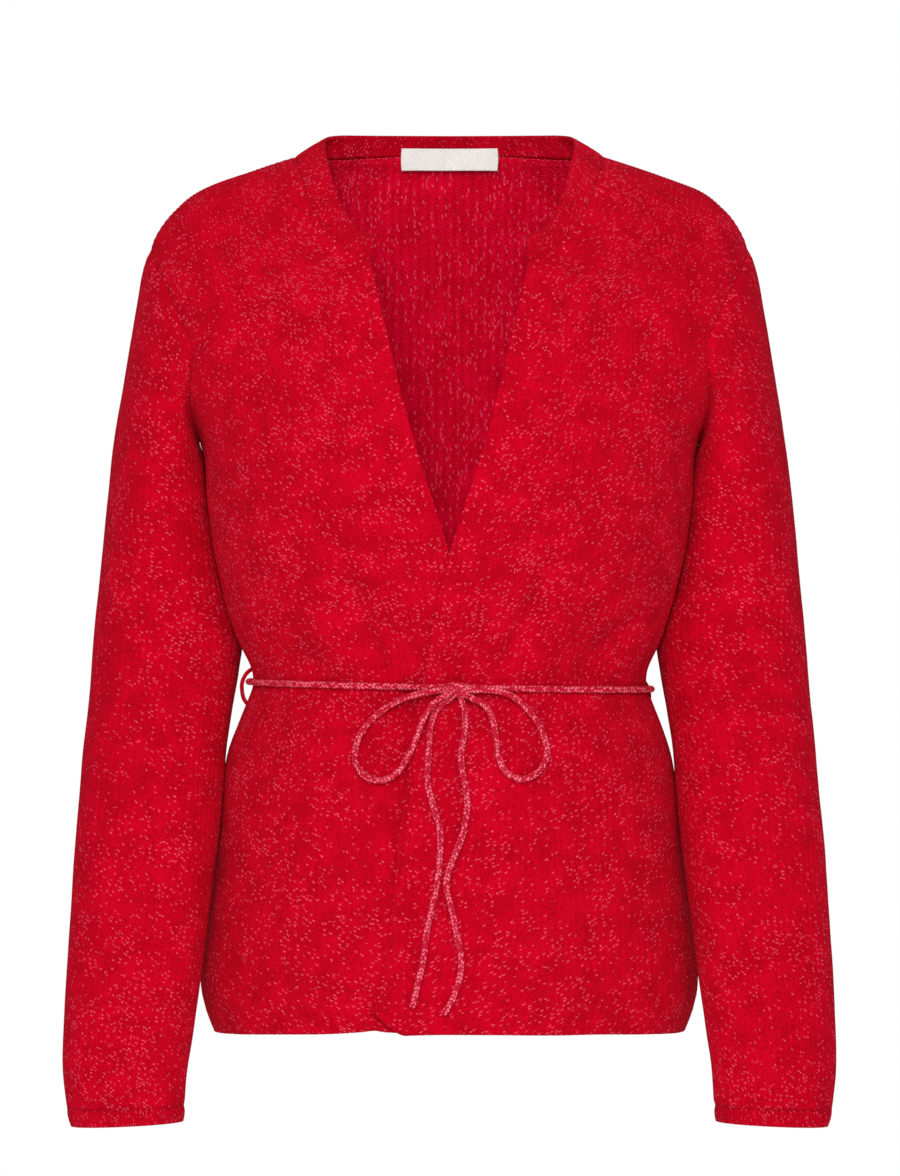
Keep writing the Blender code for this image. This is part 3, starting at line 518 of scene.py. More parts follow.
def neck_seam_front(count):
    """Angle and height of the left neck seam at the front, from its foot to the neck point."""
    fine = np.linspace(NECK_SEAM[0][0], NECK_SEAM[-1][0], 200)
    angle = front_angle(read(NECK_SEAM, SEAM_COLUMNS, "across", fine), fine)
    angle[-1] = 90.0
    return even_on_body(angle, fine, count)


def rows_about_waist(hem, underarm):
    """Heights of the rows from the hem to the underarm, closest at the hem and the cinched waist."""
    share = np.linspace(0.0, 1.0, ROWS_TO_WAIST + 1)
    low = hem + (WAIST_HEIGHT - hem) * (0.25 * share + 0.75 * share**2 * (3 - 2 * share))
    share = np.linspace(0.0, 1.0, ROWS_TO_UNDERARM + 1)
    mid = WAIST_HEIGHT + (underarm - WAIST_HEIGHT) * share**ROW_CROWDING
    return np.concatenate([low, mid[1:]])


def left_edge():
    """Angle and height of the left front's free edge, from the hem to the neck curve."""
    hem = hem_height(front_angle(edge_x(HEM_HEIGHT), HEM_HEIGHT))
    high = np.linspace(UNDERARM_EDGE_HEIGHT, V_TOP_HEIGHT, ROWS_TO_V + 1)[1:]
    height = np.concatenate([rows_about_waist(hem, UNDERARM_EDGE_HEIGHT), high])
    return front_angle(edge_x(height), height), height


def side_edge():
    """Angle and height of the side seam, from the hem to the underarm."""
    height = rows_about_waist(HEM_HEIGHT, ARMHOLE_BOTTOM)
    return np.full(len(height), 90.0), height


def hem_height(angle):
    """The hem rides a little higher at the front, and more at the front corners."""
    front = np.cos(np.radians(np.clip(angle, -90.0, 90.0))) ** 2
    corner = 1 - ease(angle, -18.0, -10.0)
    return HEM_HEIGHT + 6.0 * front + 13.0 * corner


def shoulder(count):
    """Angle and height of the shoulder seam, from the neck point to the armhole."""
    ridge_height = np.linspace(ARMHOLE_TOP, NECK_POINT_HEIGHT, 200)
    ridge_x = body("half_width", ridge_height)
    x = np.linspace(ridge_x[-1], ridge_x[0], count + 1)
    height = np.interp(x, ridge_x[::-1], ridge_height[::-1])
    return np.full(count + 1, 90.0), height


def fill(left, right, top_turn, top_rise, low_rows):
    """Fills a panel row by row between its two edges, each a list of angle and height.

    Columns are evenly spread up to the underarm. Above it they ease over to the shares of the way
    across at which they meet the top edge, which top_turn and top_rise give for angle and height.
    """
    u = np.linspace(0.0, 1.0, len(top_turn))[None, :]
    above = np.clip((np.arange(len(left)) - low_rows) / (len(left) - 1.0 - low_rows), 0.0, 1.0)[:, None]
    turn_share = u + above**2 * (np.asarray(top_turn) - u)
    rise_share = u + above**2 * (np.asarray(top_rise) - u)
    angle = left[:, :1] + (right[:, :1] - left[:, :1]) * turn_share
    height = left[:, 1:] + (right[:, 1:] - left[:, 1:]) * rise_share
    return np.stack([angle, height], axis=-1)


def ridge_shares(count):
    """How far down the shoulder each of its evenly spaced columns lies, as a share."""
    height = shoulder(count)[1]
    return (height - height[0]) / (height[-1] - height[0])


def front_patch():
    """Angle and height of the left front's grid: rows from the hem up, columns from its free edge."""
    edge = np.column_stack(left_edge())
    neck = np.column_stack(neck_seam_front(ROWS_ON_NECK))
    side = np.column_stack(side_edge())
    left = np.concatenate([edge, neck[1:]])
    right = np.concatenate([side, np.column_stack(armhole("front"))[1:]])
    even_share = np.linspace(0.0, 1.0, FRONT_COLUMNS + 1)
    patch = fill(left, right, even_share, ridge_shares(FRONT_COLUMNS), len(side) - 1)
    fade = 1 - ease(np.arange(len(left)), 0.0, ROWS_TO_WAIST)[:, None]
    level = hem_height(patch[:1, :, 0]) - patch[:1, :, 1]
    patch[..., 1] += fade * level
    return patch


def neck_rise(angle):
    """How much higher than the neck points the back neck seam runs."""
    return NECK_BACK_RISE * ease(angle, 90.0, 175.0)


def back_patch():
    """Angle and height of the back's left half: rows from the hem up, columns from the centre."""
    side = np.column_stack(side_edge())
    right = np.concatenate([side, np.column_stack(armhole("back"))[1:]])
    above = np.linspace(ARMHOLE_BOTTOM, NECK_POINT_HEIGHT, ROWS_ON_ARMHOLE + 1)[1:]
    centre = np.concatenate([side[:, 1], above])
    left = np.column_stack([np.full(len(centre), 180.0), centre])
    neck_turn = (180.0 - back_neck_seam()[0]) / 90.0
    top_turn = np.concatenate([neck_turn, np.ones(BACK_SHOULDER_COLUMNS)])
    top_rise = np.concatenate([np.zeros(BACK_NECK_COLUMNS), ridge_shares(BACK_SHOULDER_COLUMNS)])
    patch = fill(left, right, top_turn, top_rise, len(side) - 1)
    above = np.clip((np.arange(len(patch)) - len(side) + 1.0) / ROWS_ON_ARMHOLE, 0.0, 1.0)[:, None]
    patch[..., 1] += above**2 * neck_rise(patch[..., 0])
    return patch


def back_neck_seam(count=BACK_NECK_COLUMNS):
    """Angle and height of the left half of the back neck seam, from the centre to the neck point."""
    angle = np.linspace(180.0, 90.0, 200)
    return even_on_body(angle, NECK_POINT_HEIGHT + neck_rise(angle), count)


def directions(grid, closed):
    """Outward directions of a grid whose rows go round the piece and whose columns go along it."""
    if closed:
        round_step = np.roll(grid, -1, axis=1) - np.roll(grid, 1, axis=1)
    else:
        round_step = np.gradient(grid, axis=1)
    return unit(np.cross(round_step, np.gradient(grid, axis=0)))


def part_seams(points, angle, side):
    """Moves a piece's side and shoulder seam points back by half a seam gap."""
    away = 1.0 if side == "back" else -1.0
    on_seam = np.abs(np.abs(angle) - 90.0) < 0.001
    points[..., 1] += away * SEAM_GAP / 2 * on_seam
    return points


def armhole_ring():
    """The left sleeve's first ring: outer points, directions and angle round the ring."""
    front_half = np.column_stack(armhole("front", SLEEVE_COLUMNS_HALF))[::-1]
    back_half = np.column_stack(armhole("back", SLEEVE_COLUMNS_HALF))
    ring = np.concatenate([front_half, back_half[1:-1]])
    points, normal = cloth(ring[:, 0], ring[:, 1], "left")
    rise = (2 * ring[:, 1] - ARMHOLE_TOP - ARMHOLE_BOTTOM) / (ARMHOLE_TOP - ARMHOLE_BOTTOM)
    turn = np.arccos(np.clip(rise, -1.0, 1.0))
    turn[len(front_half):] = 2 * np.pi - turn[len(front_half):]
    return points, normal, turn


def sleeve_ring(row, turn):
    """Points of one of the sleeve's own rings, from its outermost point round by the front."""
    outer_x, outer_z, inner_x, inner_z, half_depth, middle_y, fullness = row
    c, s = np.cos(turn), np.sin(turn)
    reach = (np.abs(c) ** fullness + np.abs(s) ** fullness) ** (-1.0 / fullness)
    middle = np.array([(outer_x + inner_x) / 2, middle_y, (outer_z + inner_z) / 2])
    half = np.array([(outer_x - inner_x) / 2, 0.0, (outer_z - inner_z) / 2])
    forward = np.array([0.0, -half_depth, 0.0])
    return middle + (reach * c)[:, None] * half + (reach * s)[:, None] * forward


def beside_body(rings):
    """Keeps a sleeve's rings off the body's outline where the sleeve hangs against it."""
    x, y, z = rings[..., 0], rings[..., 1], rings[..., 2]
    depth = np.where(y < 0.0, body("front_depth", z), body("back_depth", z))
    n = body("fullness", z)
    across = np.minimum(np.abs(y) / depth, 0.97)
    side_x = body("half_width", z) * (1 - across**n) ** (1 / n)
    slope = body("half_width", z) / depth * across ** (n - 1) * (1 - across**n) ** (1 / n - 1)
    edge = np.stack([side_x, y, z], axis=-1)
    stand = np.maximum(folds(edge, FRONT_FOLDS), folds(edge * MIRROR, FRONT_FOLDS))
    clear = CONTACT_GAP + np.maximum(stand, 0.0) * (1 - ease(y, -2.0, 6.0))
    limit = side_x + clear * np.sqrt(1 + slope**2)
    limit = np.where(z < ARMHOLE_BOTTOM, limit, -1000.0)
    moved = rings.copy()
    moved[1:, :, 0] = np.maximum(x, limit)[1:]
    return moved


def sleeve_stations():
    """Where along the sleeve's table its rings lie, spaced evenly down the sleeve's middle."""
    table = np.array(SLEEVE)
    known = np.arange(len(SLEEVE), dtype=float)
    fine = np.linspace(0.0, known[-1], 400)
    middle = np.stack([smooth(fine, known, (table[:, i] + table[:, i + 2]) / 2) for i in (0, 1)], axis=1)
    along = path_along(middle)
    return np.interp(np.linspace(0.0, along[-1], SLEEVE_ROWS + 1), along, fine)


def sleeve_rings():
    """The left sleeve's outer rings and directions, armhole first, and the cuff's two rings."""
    seam, seam_normal, turn = armhole_ring()
    own_first = sleeve_ring(SLEEVE[0], turn)
    table = np.array(SLEEVE)
    known = np.arange(len(table), dtype=float)
    shares = np.array(ARMHOLE_BLEND + (0.0,) * (len(table) - len(ARMHOLE_BLEND)))
    rings = []
    for at in sleeve_stations():
        row = [float(smooth(at, known, table[:, i])) for i in range(table.shape[1])]
        share = float(smooth(at, known, shares))
        rings.append(sleeve_ring(row, turn) + share * (seam - own_first))
    rings = beside_body(np.array(rings))
    wrist_row = (WRIST_X[1], WRIST_Z[1], WRIST_X[0], WRIST_Z[0], WRIST_HALF_DEPTH, WRIST_MIDDLE_Y, 2.2)
    wrist = sleeve_ring(wrist_row, turn)
    normal = directions(np.concatenate([rings, wrist[None]]), True)
    normal[0] = seam_normal
    tangent = np.roll(seam, -1, axis=0) - np.roll(seam, 1, axis=0)
    away = unit(np.cross(tangent, seam_normal))
    away *= np.sign(np.sum(away * (seam - seam.mean(axis=0)), axis=1))[:, None] * -1.0
    rings[0] = seam + away * SEAM_GAP
    return rings, wrist, normal


def neckband_half():
    """Seam and free edge of the left half of the neckband, with the cloth's direction at the seam."""
    front_seam = np.column_stack(neck_seam_front(BAND_FRONT_COLUMNS))
    back_seam = np.column_stack(back_neck_seam(BAND_BACK_COLUMNS))[::-1]
    front_points, front_normal = cloth(front_seam[:, 0], front_seam[:, 1], "left")
    back_points, back_normal = cloth(back_seam[:, 0], back_seam[:, 1], "back")
    seam = np.concatenate([front_points, back_points[1:]])
    normal = np.concatenate([front_normal, back_normal[1:]])
    edge_front = even(np.array(NECK_EDGE_FRONT), BAND_FRONT_COLUMNS)
    edge_back = even(np.array(NECK_EDGE_BACK), BAND_BACK_COLUMNS)
    return seam, np.concatenate([edge_front, edge_back[1:]]), normal


def front_depth_at(across, height):
    """Where the outer cloth of the fronts lies, front to back, at a point seen from the front."""
    angle = front_angle(across, height)
    on_top = across > edge_x(height) - EDGE_CLIMB
    point, _ = cloth_at(angle, height, "left" if on_top else "right")
    return point[1]


def cord_points(route):
    """A smooth cord centreline lying on the fronts, from its route seen from the front."""
    places = []
    for across, height, proud in route:
        lift = CORD_RADIUS + CORD_CLEARANCE + proud
        places.append((across, front_depth_at(across, height) - lift, height))
    return np.array(places)


def waist_points():
    """The belt's run round the waist, from the knot by the wearer's left and back to the knot."""
    start = front_angle(KNOT_CENTRE + KNOT_REACH, WAIST_HEIGHT)
    end = 360.0 + front_angle(KNOT_CENTRE - KNOT_REACH, WAIST_HEIGHT)
    angle = np.linspace(float(start), float(end), 120)
    height = belt_height(angle)
    turned = np.where(angle > 270.0, angle - 360.0, angle)
    points = []
    for a, z in zip(turned, height):
        base = torso(np.array([a]), np.array([z]))
        side = "back" if 90.0 < a < 270.0 else ("left" if base[0, 0] > edge_x(z) - EDGE_CLIMB else "right")
        place, normal = cloth_at(a, z, side)
        level = unit(normal * np.array([1.0, 1.0, 0.0]))
        points.append(place + level * (CORD_RADIUS + CORD_CLEARANCE + BELT_STAND))
    return np.array(points)


def arc_along(points, axis):
    """Distance along a grid's rows or columns from their start, in millimetres."""
    step = np.linalg.norm(np.diff(points, axis=axis), axis=-1)
    start = np.zeros_like(np.take(step, [0], axis=axis))
    return np.concatenate([start, np.cumsum(step, axis=axis)], axis=axis)


def wander(points, size, seed):
    """A slow, smooth wander from -1 to 1 over the cloth, with waves of about the given size."""
    random = np.random.default_rng(seed)
    total = np.zeros(points.shape[:-1])
    for _ in range(7):
        way = random.normal(size=3)
        way *= 2 * np.pi / (size * random.uniform(0.7, 1.5) * np.linalg.norm(way))
        total += np.sin(points @ way + random.uniform(0, 2 * np.pi))
    return total / 4.0


def grid_quads(rows, columns, closed):
    """Corner numbers of a grid's faces, as row and column with the closing column counted on."""
    last = columns if closed else columns - 1
    r, c = np.meshgrid(np.arange(rows - 1), np.arange(last), indexing="ij")
    r, c = r.ravel(), c.ravel()
    return np.stack([r, r, r + 1, r + 1], axis=1), np.stack([c, c + 1, c + 1, c], axis=1)


def place_object(name, data):
    """Puts a mesh, a light or a camera in the scene."""
    made = bpy.data.objects.new(name, data)
    bpy.context.scene.collection.objects.link(made)
    return made


def make_object(name, points, quads, uv, face_material, materials):
    """A smooth mesh object from points in millimetres, four-sided faces and their corners' UVs."""
    mesh = bpy.data.meshes.new(name)
    mesh.vertices.add(len(points))
    mesh.vertices.foreach_set("co", (points * MM).astype(np.float32).ravel())
    mesh.loops.add(quads.size)
    mesh.loops.foreach_set("vertex_index", quads.astype(np.int32).ravel())
    mesh.polygons.add(len(quads))
    mesh.polygons.foreach_set("loop_start", np.arange(0, quads.size, 4, dtype=np.int32))
    mesh.polygons.foreach_set("loop_total", np.full(len(quads), 4, dtype=np.int32))
    for material in materials:
        mesh.materials.append(material)
    mesh.polygons.foreach_set("material_index", face_material.astype(np.int32))
    mesh.update(calc_edges=True)
    layer = mesh.uv_layers.new(name="knit")
    layer.data.foreach_set("uv", uv.astype(np.float32).reshape(-1, 2).ravel())
    mesh.shade_smooth()
    mesh.validate()
    return place_object(name, mesh)


def shell(name, outer, inner, closed, uv, materials):
    """A cloth shell between two grids. Its rims are closed, and its outside is counter-clockwise."""
    rows, columns = outer.shape[:2]
    shift = rows * columns
    points = np.concatenate([outer.reshape(-1, 3), inner.reshape(-1, 3)])
    r, c = grid_quads(rows, columns, closed)
    corner = r * columns + c % columns
    corner_uv = uv[r, c]
    quads = [corner, corner[:, ::-1] + shift]
    uvs = [corner_uv, corner_uv[:, ::-1]]
    kinds = [np.zeros(len(corner)), np.ones(len(corner))]
    rims = []
    last = columns if closed else columns - 1
    c0 = np.arange(last)
    for row, way in ((0, -1), (rows - 1, 1)):
        rims.append((np.full(last, row), c0, np.full(last, row), c0 + 1, way))
    if not closed:
        r0 = np.arange(rows - 1)
        rims.append((r0, np.zeros(rows - 1, int), r0 + 1, np.zeros(rows - 1, int), 1))
        rims.append((r0, np.full(rows - 1, columns - 1), r0 + 1, np.full(rows - 1, columns - 1), -1))
    for ra, ca, rb, cb, way in rims:
        a, b = ra * columns + ca % columns, rb * columns + cb % columns
        quad = np.stack([a, b, b + shift, a + shift], axis=1)
        quad_uv = np.stack([uv[ra, ca], uv[rb, cb], uv[rb, cb], uv[ra, ca]], axis=1)
        quads.append(quad if way > 0 else quad[:, ::-1])
        uvs.append(quad_uv if way > 0 else quad_uv[:, ::-1])
        kinds.append(np.zeros(len(quad)))
    quads, uvs, kinds = (np.concatenate(parts) for parts in (quads, uvs, kinds))
    return make_object(name, points, quads, uvs, kinds, materials)


def front_ribs(points, patch):
    """Rib number at each point of the left front: ribs follow its free edge and turn upright inside."""
    across = arc_along(points, 1)
    width = across[:, -1:]
    height = patch[:, 0, 1]
    on_neck = np.arange(len(height)) > UNDERARM_ROW + ROWS_TO_V
    edge_across = np.where(on_neck, points[:, 0, 0], edge_x(np.minimum(height, V_TOP_HEIGHT)))
    shift = np.maximum(edge_across - edge_x(WAIST_HEIGHT + 4.0), 0.0) * (height > WAIST_HEIGHT + 4.0)
    pitch = width[UNDERARM_ROW, 0] / (FRONT_RIBS - shift[UNDERARM_ROW] / FIRST_PITCH)
    lost = shift / pitch
    count = np.where(np.arange(len(height)) <= UNDERARM_ROW, FRONT_RIBS - lost, width[:, 0] / pitch)
    near = 1 - ease(across, EDGE_TURN_FROM, EDGE_TURN_TO)
    return lost[:, None] * (1 - 0.5 * near) + across / width * count[:, None]


def back_ribs(points):
    """Rib number at each point of the back's left half, counted from its centre line."""
    across = arc_along(points, 1)
    width = across[:, -1:]
    pitch = width[UNDERARM_ROW, 0] / BACK_HALF_RIBS
    count = np.where(np.arange(len(points)) <= UNDERARM_ROW, BACK_HALF_RIBS, width[:, 0] / pitch)
    return across / width * count[:, None]


def roll(distance):
    """How far the cloth draws in near a seam, from the distance to it."""
    return SEAM_ROLL * np.exp(-((distance / SEAM_ROLL_WIDTH) ** 2))


def dress(name, outer, normal, ribs, courses, seam_distance, closed, materials):
    """A panel's shell, with ribs raised on both faces and soft rims."""
    stand = RIB_RELIEF * np.cos(2 * np.pi * ribs)
    inner_stand = INNER_RIB_RELIEF * np.cos(2 * np.pi * ribs)
    quiet = 1 - np.exp(-((seam_distance / 2.0) ** 2))
    surface = outer + normal * (stand * quiet - roll(seam_distance))[..., None]
    lining = outer - normal * (WALL - RIB_RELIEF + inner_stand * quiet - 0.3 * roll(seam_distance))[..., None]
    uv = np.stack([ribs, courses], axis=-1)
    if closed:
        uv = np.concatenate([uv, uv[:, :1] + np.array([round(float(ribs[0, -1] + 1e-6)), 0.0])], axis=1)
    return shell(name, surface, lining, closed, uv, materials)


class Graph:
    """A material's node tree, with short calls for the nodes used here."""

    def __init__(self, name):
        self.material = bpy.data.materials.new(name)
        self.material.use_nodes = True
        self.tree = self.material.node_tree
        self.shader = self.tree.nodes["Principled BSDF"]

    def node(self, kind, **settings):
        made = self.tree.nodes.new(kind)
        for key, value in settings.items():
            setattr(made, key, value)
        return made

    def place(self):
        return self.node("ShaderNodeTexCoord").outputs["Object"]

    def put(self, socket, value):
        """Links a socket or sets a plain value."""
        if isinstance(value, bpy.types.NodeSocket):
            self.tree.links.new(value, socket)
        else:
            socket.default_value = value

    def math(self, operation, *values):
        made = self.node("ShaderNodeMath", operation=operation)
        for socket, value in zip(made.inputs, values):
            self.put(socket, value)
        return made.outputs[0]

    def add(self, first, second):
        return self.math("ADD", first, second)

    def sub(self, first, second):
        return self.math("SUBTRACT", first, second)

    def mul(self, first, second):
        return self.math("MULTIPLY", first, second)

    def mad(self, first, second, third):
        """The first times the second, plus the third."""
        return self.math("MULTIPLY_ADD", first, second, third)

    def absolute(self, value):
        return self.math("ABSOLUTE", value)

    def wave(self, turns, operation="COSINE"):
        """A cosine or a sine of so many whole turns."""
        return self.math(operation, self.mul(turns, 2 * np.pi))

    def step(self, value, low, high, to_low=0.0, to_high=1.0):
        """A soft step of a value between two limits."""
        made = self.node("ShaderNodeMapRange", interpolation_type="SMOOTHSTEP")
        keys = ("Value", "From Min", "From Max", "To Min", "To Max")
        for key, entry in zip(keys, (value, low, high, to_low, to_high)):
            self.put(made.inputs[key], entry)
        return made.outputs["Result"]

    def knit_place(self):
        """The place in space, and the rib and course numbers that the UVs hold."""
        place = self.place()
        u, v, _ = self.parts(self.node("ShaderNodeUVMap", uv_map="knit").outputs[0])
        return place, u, v

    def vector(self, x, y, z):
        made = self.node("ShaderNodeCombineXYZ")
        for socket, value in zip(made.inputs, (x, y, z)):
            self.put(socket, value)
        return made.outputs[0]

    def parts(self, vector):
        made = self.node("ShaderNodeSeparateXYZ")
        self.put(made.inputs[0], vector)
        return made.outputs

    def noise(self, vector, scale, detail=2.0):
        made = self.node("ShaderNodeTexNoise", noise_dimensions="3D")
        self.put(made.inputs["Vector"], vector)
        made.inputs["Scale"].default_value = scale
        made.inputs["Detail"].default_value = detail
        return made.outputs["Fac"]

    def random(self, vector):
        """A random number and three more for each whole-numbered place."""
        made = self.node("ShaderNodeTexWhiteNoise", noise_dimensions="3D")
        self.put(made.inputs["Vector"], vector)
        return made.outputs["Value"], self.parts(made.outputs["Color"])

    def mix(self, factor, first, second):
        made = self.node("ShaderNodeMix", data_type="RGBA")
        self.put(made.inputs["Factor"], factor)
        self.put(made.inputs[6], first)
        self.put(made.inputs[7], second)
        return made.outputs[2]

    def bump(self, height, distance, strength):
        made = self.node("ShaderNodeBump")
        made.inputs["Distance"].default_value = distance
        made.inputs["Strength"].default_value = strength
        self.put(made.inputs["Height"], height)
        return made.outputs["Normal"]

    def finish(self, colour, normal, roughness, sheen, tint):
        keys = ("Base Color", "Normal", "Roughness", "Specular IOR Level",
                "Sheen Weight", "Sheen Roughness", "Sheen Tint")
        for key, value in zip(keys, (colour, normal, roughness, SPECULAR, sheen, SHEEN_ROUGHNESS, tint)):
            self.put(self.shader.inputs[key], value)
        return self.material


def flecks(graph, rib, course, shift, seed, threshold, inside, width):
    """Pale yarn flecks, one to a stitch at most: small cups outside, upright dashes inside."""
    moved = graph.add(rib, shift)
    cell_u, cell_v = graph.math("FLOOR", moved), graph.math("FLOOR", course)
    value, (first, second, third) = graph.random(graph.vector(cell_u, cell_v, seed))
    x = graph.sub(graph.sub(moved, cell_u), graph.mad(third, 0.34, 0.33))
    y = graph.sub(graph.sub(course, cell_v), graph.mad(second, 0.45, 0.12))
    fray = graph.noise(graph.vector(graph.mul(moved, 5.0), graph.mul(course, 3.0), seed), 1.6)
    edge = graph.mad(fray, 0.16, -0.08)
    if inside:
        reach = graph.step(graph.absolute(y), 0.30, 0.60, 1.0, 0.0)
        bend = graph.mad(y, graph.mad(third, 0.30, -0.15), x)
        line = graph.step(graph.add(graph.absolute(bend), edge), 0.03, 0.11, 1.0, 0.0)
    else:
        aside = graph.absolute(x)
        reach = graph.step(aside, width * 0.65, width, 1.0, 0.0)
        lean = graph.mul(x, graph.mad(first, -24.0, 12.0))
        reach = graph.mul(reach, graph.step(lean, 0.6, 1.3, 1.0, 0.0))
        rise = graph.mul(aside, graph.mad(second, 1.8, 0.9))
        away = graph.sub(y, rise)
        line = graph.step(graph.add(graph.absolute(away), edge), 0.06, 0.20, 1.0, 0.0)
    there = graph.math("GREATER_THAN", value, threshold)
    strength = graph.mad(graph.mul(third, first), 0.8, 0.3)
    return graph.mul(graph.mul(reach, line), graph.mul(there, strength))


def knit_material(name, inside=False, trough_shade=0.10, cover=1.0, fine=False):
    """Brushed rib knit in red, with pale flecks along its stitches and painted shade in its rib troughs. Its
    inside is painted lighter, as fill light for the shade within the garment.
    """
    graph = Graph(name)
    place, u, v = graph.knit_place()
    sway = graph.mad(graph.noise(place, 90.0), 0.5, -0.25)
    wobble = graph.mad(graph.noise(place, 330.0, 1.0), 0.5, -0.25)
    rib = graph.add(u, graph.mad(sway, 0.6, graph.mul(wobble, 0.35)))
    course = graph.add(v, graph.mad(sway, 1.6, wobble))
    patch = graph.noise(place, 42.0, 3.0)
    wide_patch = graph.noise(place, 11.0, 1.0)
    dense = graph.add(graph.mul(patch, 0.7), graph.mul(wide_patch, 0.3))
    threshold = graph.step(dense, 0.30, 0.68, 0.88, 0.92 - 0.46 * cover)
    width = 0.34 if fine else 0.27
    on_rib = flecks(graph, rib, course, 0.5, 3.0, threshold, inside, width)
    late = graph.add(course, 0.5)
    rarer = graph.add(threshold, 0.12)
    beside = flecks(graph, rib, late, 0.0, 11.0, rarer, inside, width * 0.8)
    mark = graph.math("MINIMUM", graph.add(on_rib, beside), 1.0)
    height = graph.wave(rib)
    nap = graph.noise(place, 760.0, 3.0)
    cloud = graph.noise(place, 60.0, 3.0)
    tone = graph.add(graph.mul(nap, 0.6), graph.mul(cloud, 0.4))
    # For the inside, the lighter colours paint fill light into the shade within the garment
    dark, light = (LINING_DARK_PAINTED_FILL, LINING_LIGHT_PAINTED_FILL) if inside else (KNIT_DARK, KNIT_LIGHT)
    body_colour = graph.mix(graph.step(tone, 0.38, 0.62), dark, light)
    # Painted shade: the rib troughs are darkened towards the trough colour, by the trough_shade amount
    low = graph.step(height, -1.0, 0.3, trough_shade, 0.0)
    body_colour = graph.mix(low, body_colour, KNIT_TROUGH_SHADE)
    colour = graph.mix(mark, body_colour, FLECK)
    across = graph.absolute(graph.sub(graph.math("FRACT", graph.add(rib, 0.5)), 0.5))
    leg = graph.wave(graph.mad(across, -1.7, course))
    relief = graph.add(graph.mul(leg, 0.16), graph.mul(nap, 1.1))
    relief = graph.add(relief, graph.mul(mark, 0.35))
    normal = graph.bump(relief, 0.0009, 0.8)
    return graph.finish(colour, normal, 0.95, 0.12, SHEEN)


def cord_material(name):
    """Tubular knitted cord in a heather of red and pale pink."""
    graph = Graph(name)
    place, u, v = graph.knit_place()
    across = graph.absolute(graph.sub(graph.math("FRACT", u), 0.5))
    sway = graph.mad(graph.noise(place, 480.0), 1.0, -0.5)
    leg = graph.add(graph.mad(across, -1.3, v), sway)
    side = graph.math("FLOOR", graph.mul(u, 2.0))
    value, (first, _, _) = graph.random(graph.vector(side, graph.math("FLOOR", leg), 5.0))
    ridge = graph.wave(leg)
    place_on = graph.vector(graph.mul(u, 9.0), graph.mul(leg, 2.2), 0.0)
    strand = graph.noise(place_on, 1.4, 3.0)
    stroke = graph.step(graph.mad(strand, 1.6, graph.mul(ridge, -1.0)), 0.2, 0.9)
    bright = graph.step(value, 0.25, 0.6, 0.08, 1.0)
    middle = graph.step(across, 0.02, 0.12)
    pale = graph.mul(graph.mul(stroke, bright), middle)
    base = graph.mix(graph.step(strand, 0.35, 0.65), CORD_DARK, CORD_MID)
    colour = graph.mix(graph.mul(pale, graph.mad(first, 0.4, 0.6)), base, CORD_PALE)
    relief = graph.add(graph.mul(ridge, 0.3), graph.mul(strand, 0.5))
    relief = graph.add(relief, graph.mul(graph.noise(place, 1600.0), 0.5))
    normal = graph.bump(relief, 0.0005, 0.7)
    return graph.finish(colour, normal, 0.85, 0.2, SHEEN)


def thread_material(name):
    """Pale linking thread."""
    graph = Graph(name)
    place = graph.place()
    strand = graph.noise(place, 1500.0, 2.0)
    colour = graph.mix(strand, KNIT_LIGHT, THREAD)
    return graph.finish(colour, graph.bump(strand, 0.0003, 0.5), 0.85, 0.2, SHEEN)


def label_material(name):
    """Smooth woven ribbon in off-white, blank."""
    graph = Graph(name)
    place, u, v = graph.knit_place()
    weft = graph.wave(v, "SINE")
    warp = graph.wave(u, "SINE")
    weave = graph.mul(weft, warp)
    cloud = graph.noise(place, 120.0, 3.0)
    tone = graph.add(graph.mul(weave, 0.12), cloud)
    colour = graph.mix(graph.step(tone, 0.3, 0.7), LABEL_SHADE, LABEL_LIGHT)
    normal = graph.bump(graph.add(weave, graph.mul(cloud, 0.6)), 0.0002, 0.5)
    return graph.finish(colour, normal, 0.7, 0.1, WHITE)


def floor_material(name):
    """A plain pale floor."""
    graph = Graph(name)
    place = graph.place()
    tone = graph.noise(place, 3.0, 2.0)
    colour = graph.mix(tone, (0.90, 0.90, 0.90, 1.0), (0.94, 0.94, 0.94, 1.0))
    made = graph.finish(colour, graph.bump(tone, 0.0001, 0.1), 0.9, 0.0, WHITE)
    graph.shader.inputs["Emission Color"].default_value = WHITE
    graph.shader.inputs["Emission Strength"].default_value = 0.25
    return made


def seams_near(points):
    """Distance from each point of a panel to its nearest edge other than the hem, in millimetres."""
    up, across = arc_along(points, 0), arc_along(points, 1)
    return np.minimum(up[-1:] - up, np.minimum(across, across[:, -1:] - across))


def settle(points, normal, seed):
    """Small soft waves in the cloth."""
    waves = wander(points, 75.0, seed) + 0.3 * wander(points, 28.0, seed + 1)
    return points + normal * (SETTLE * waves)[..., None]


def hem_finish(points, normal):
    """The faint line that the hem's turning leaves."""
    up = arc_along(points, 0)
    line = np.exp(-(((up - HEM_LINE_UP) / HEM_LINE_WIDTH) ** 2)) * HEM_LINE_DEPTH
    return points - normal * line[..., None]


def make_front(name, side, materials):
    """One front. The left one lies on top and the right one is its mirror image beneath."""
    patch = front_patch()
    left, _ = cloth(patch[..., 0], patch[..., 1], "left")
    ribs = front_ribs(left, patch)
    if side == "right":
        patch = patch[:, ::-1] * TURN_OVER
        ribs = ribs[:, ::-1]
    outer, normal = cloth(patch[..., 0], patch[..., 1], side)
    near = seams_near(outer)
    outer = hem_finish(settle(outer, normal, 3 if side == "left" else 9), normal)
    outer = part_seams(outer, patch[..., 0], side)
    courses = arc_along(outer, 0) / COURSE
    ribs = ribs + RIB_WANDER * wander(outer, 60.0, 21)
    return dress(name, outer, normal, ribs, courses, near, False, materials)


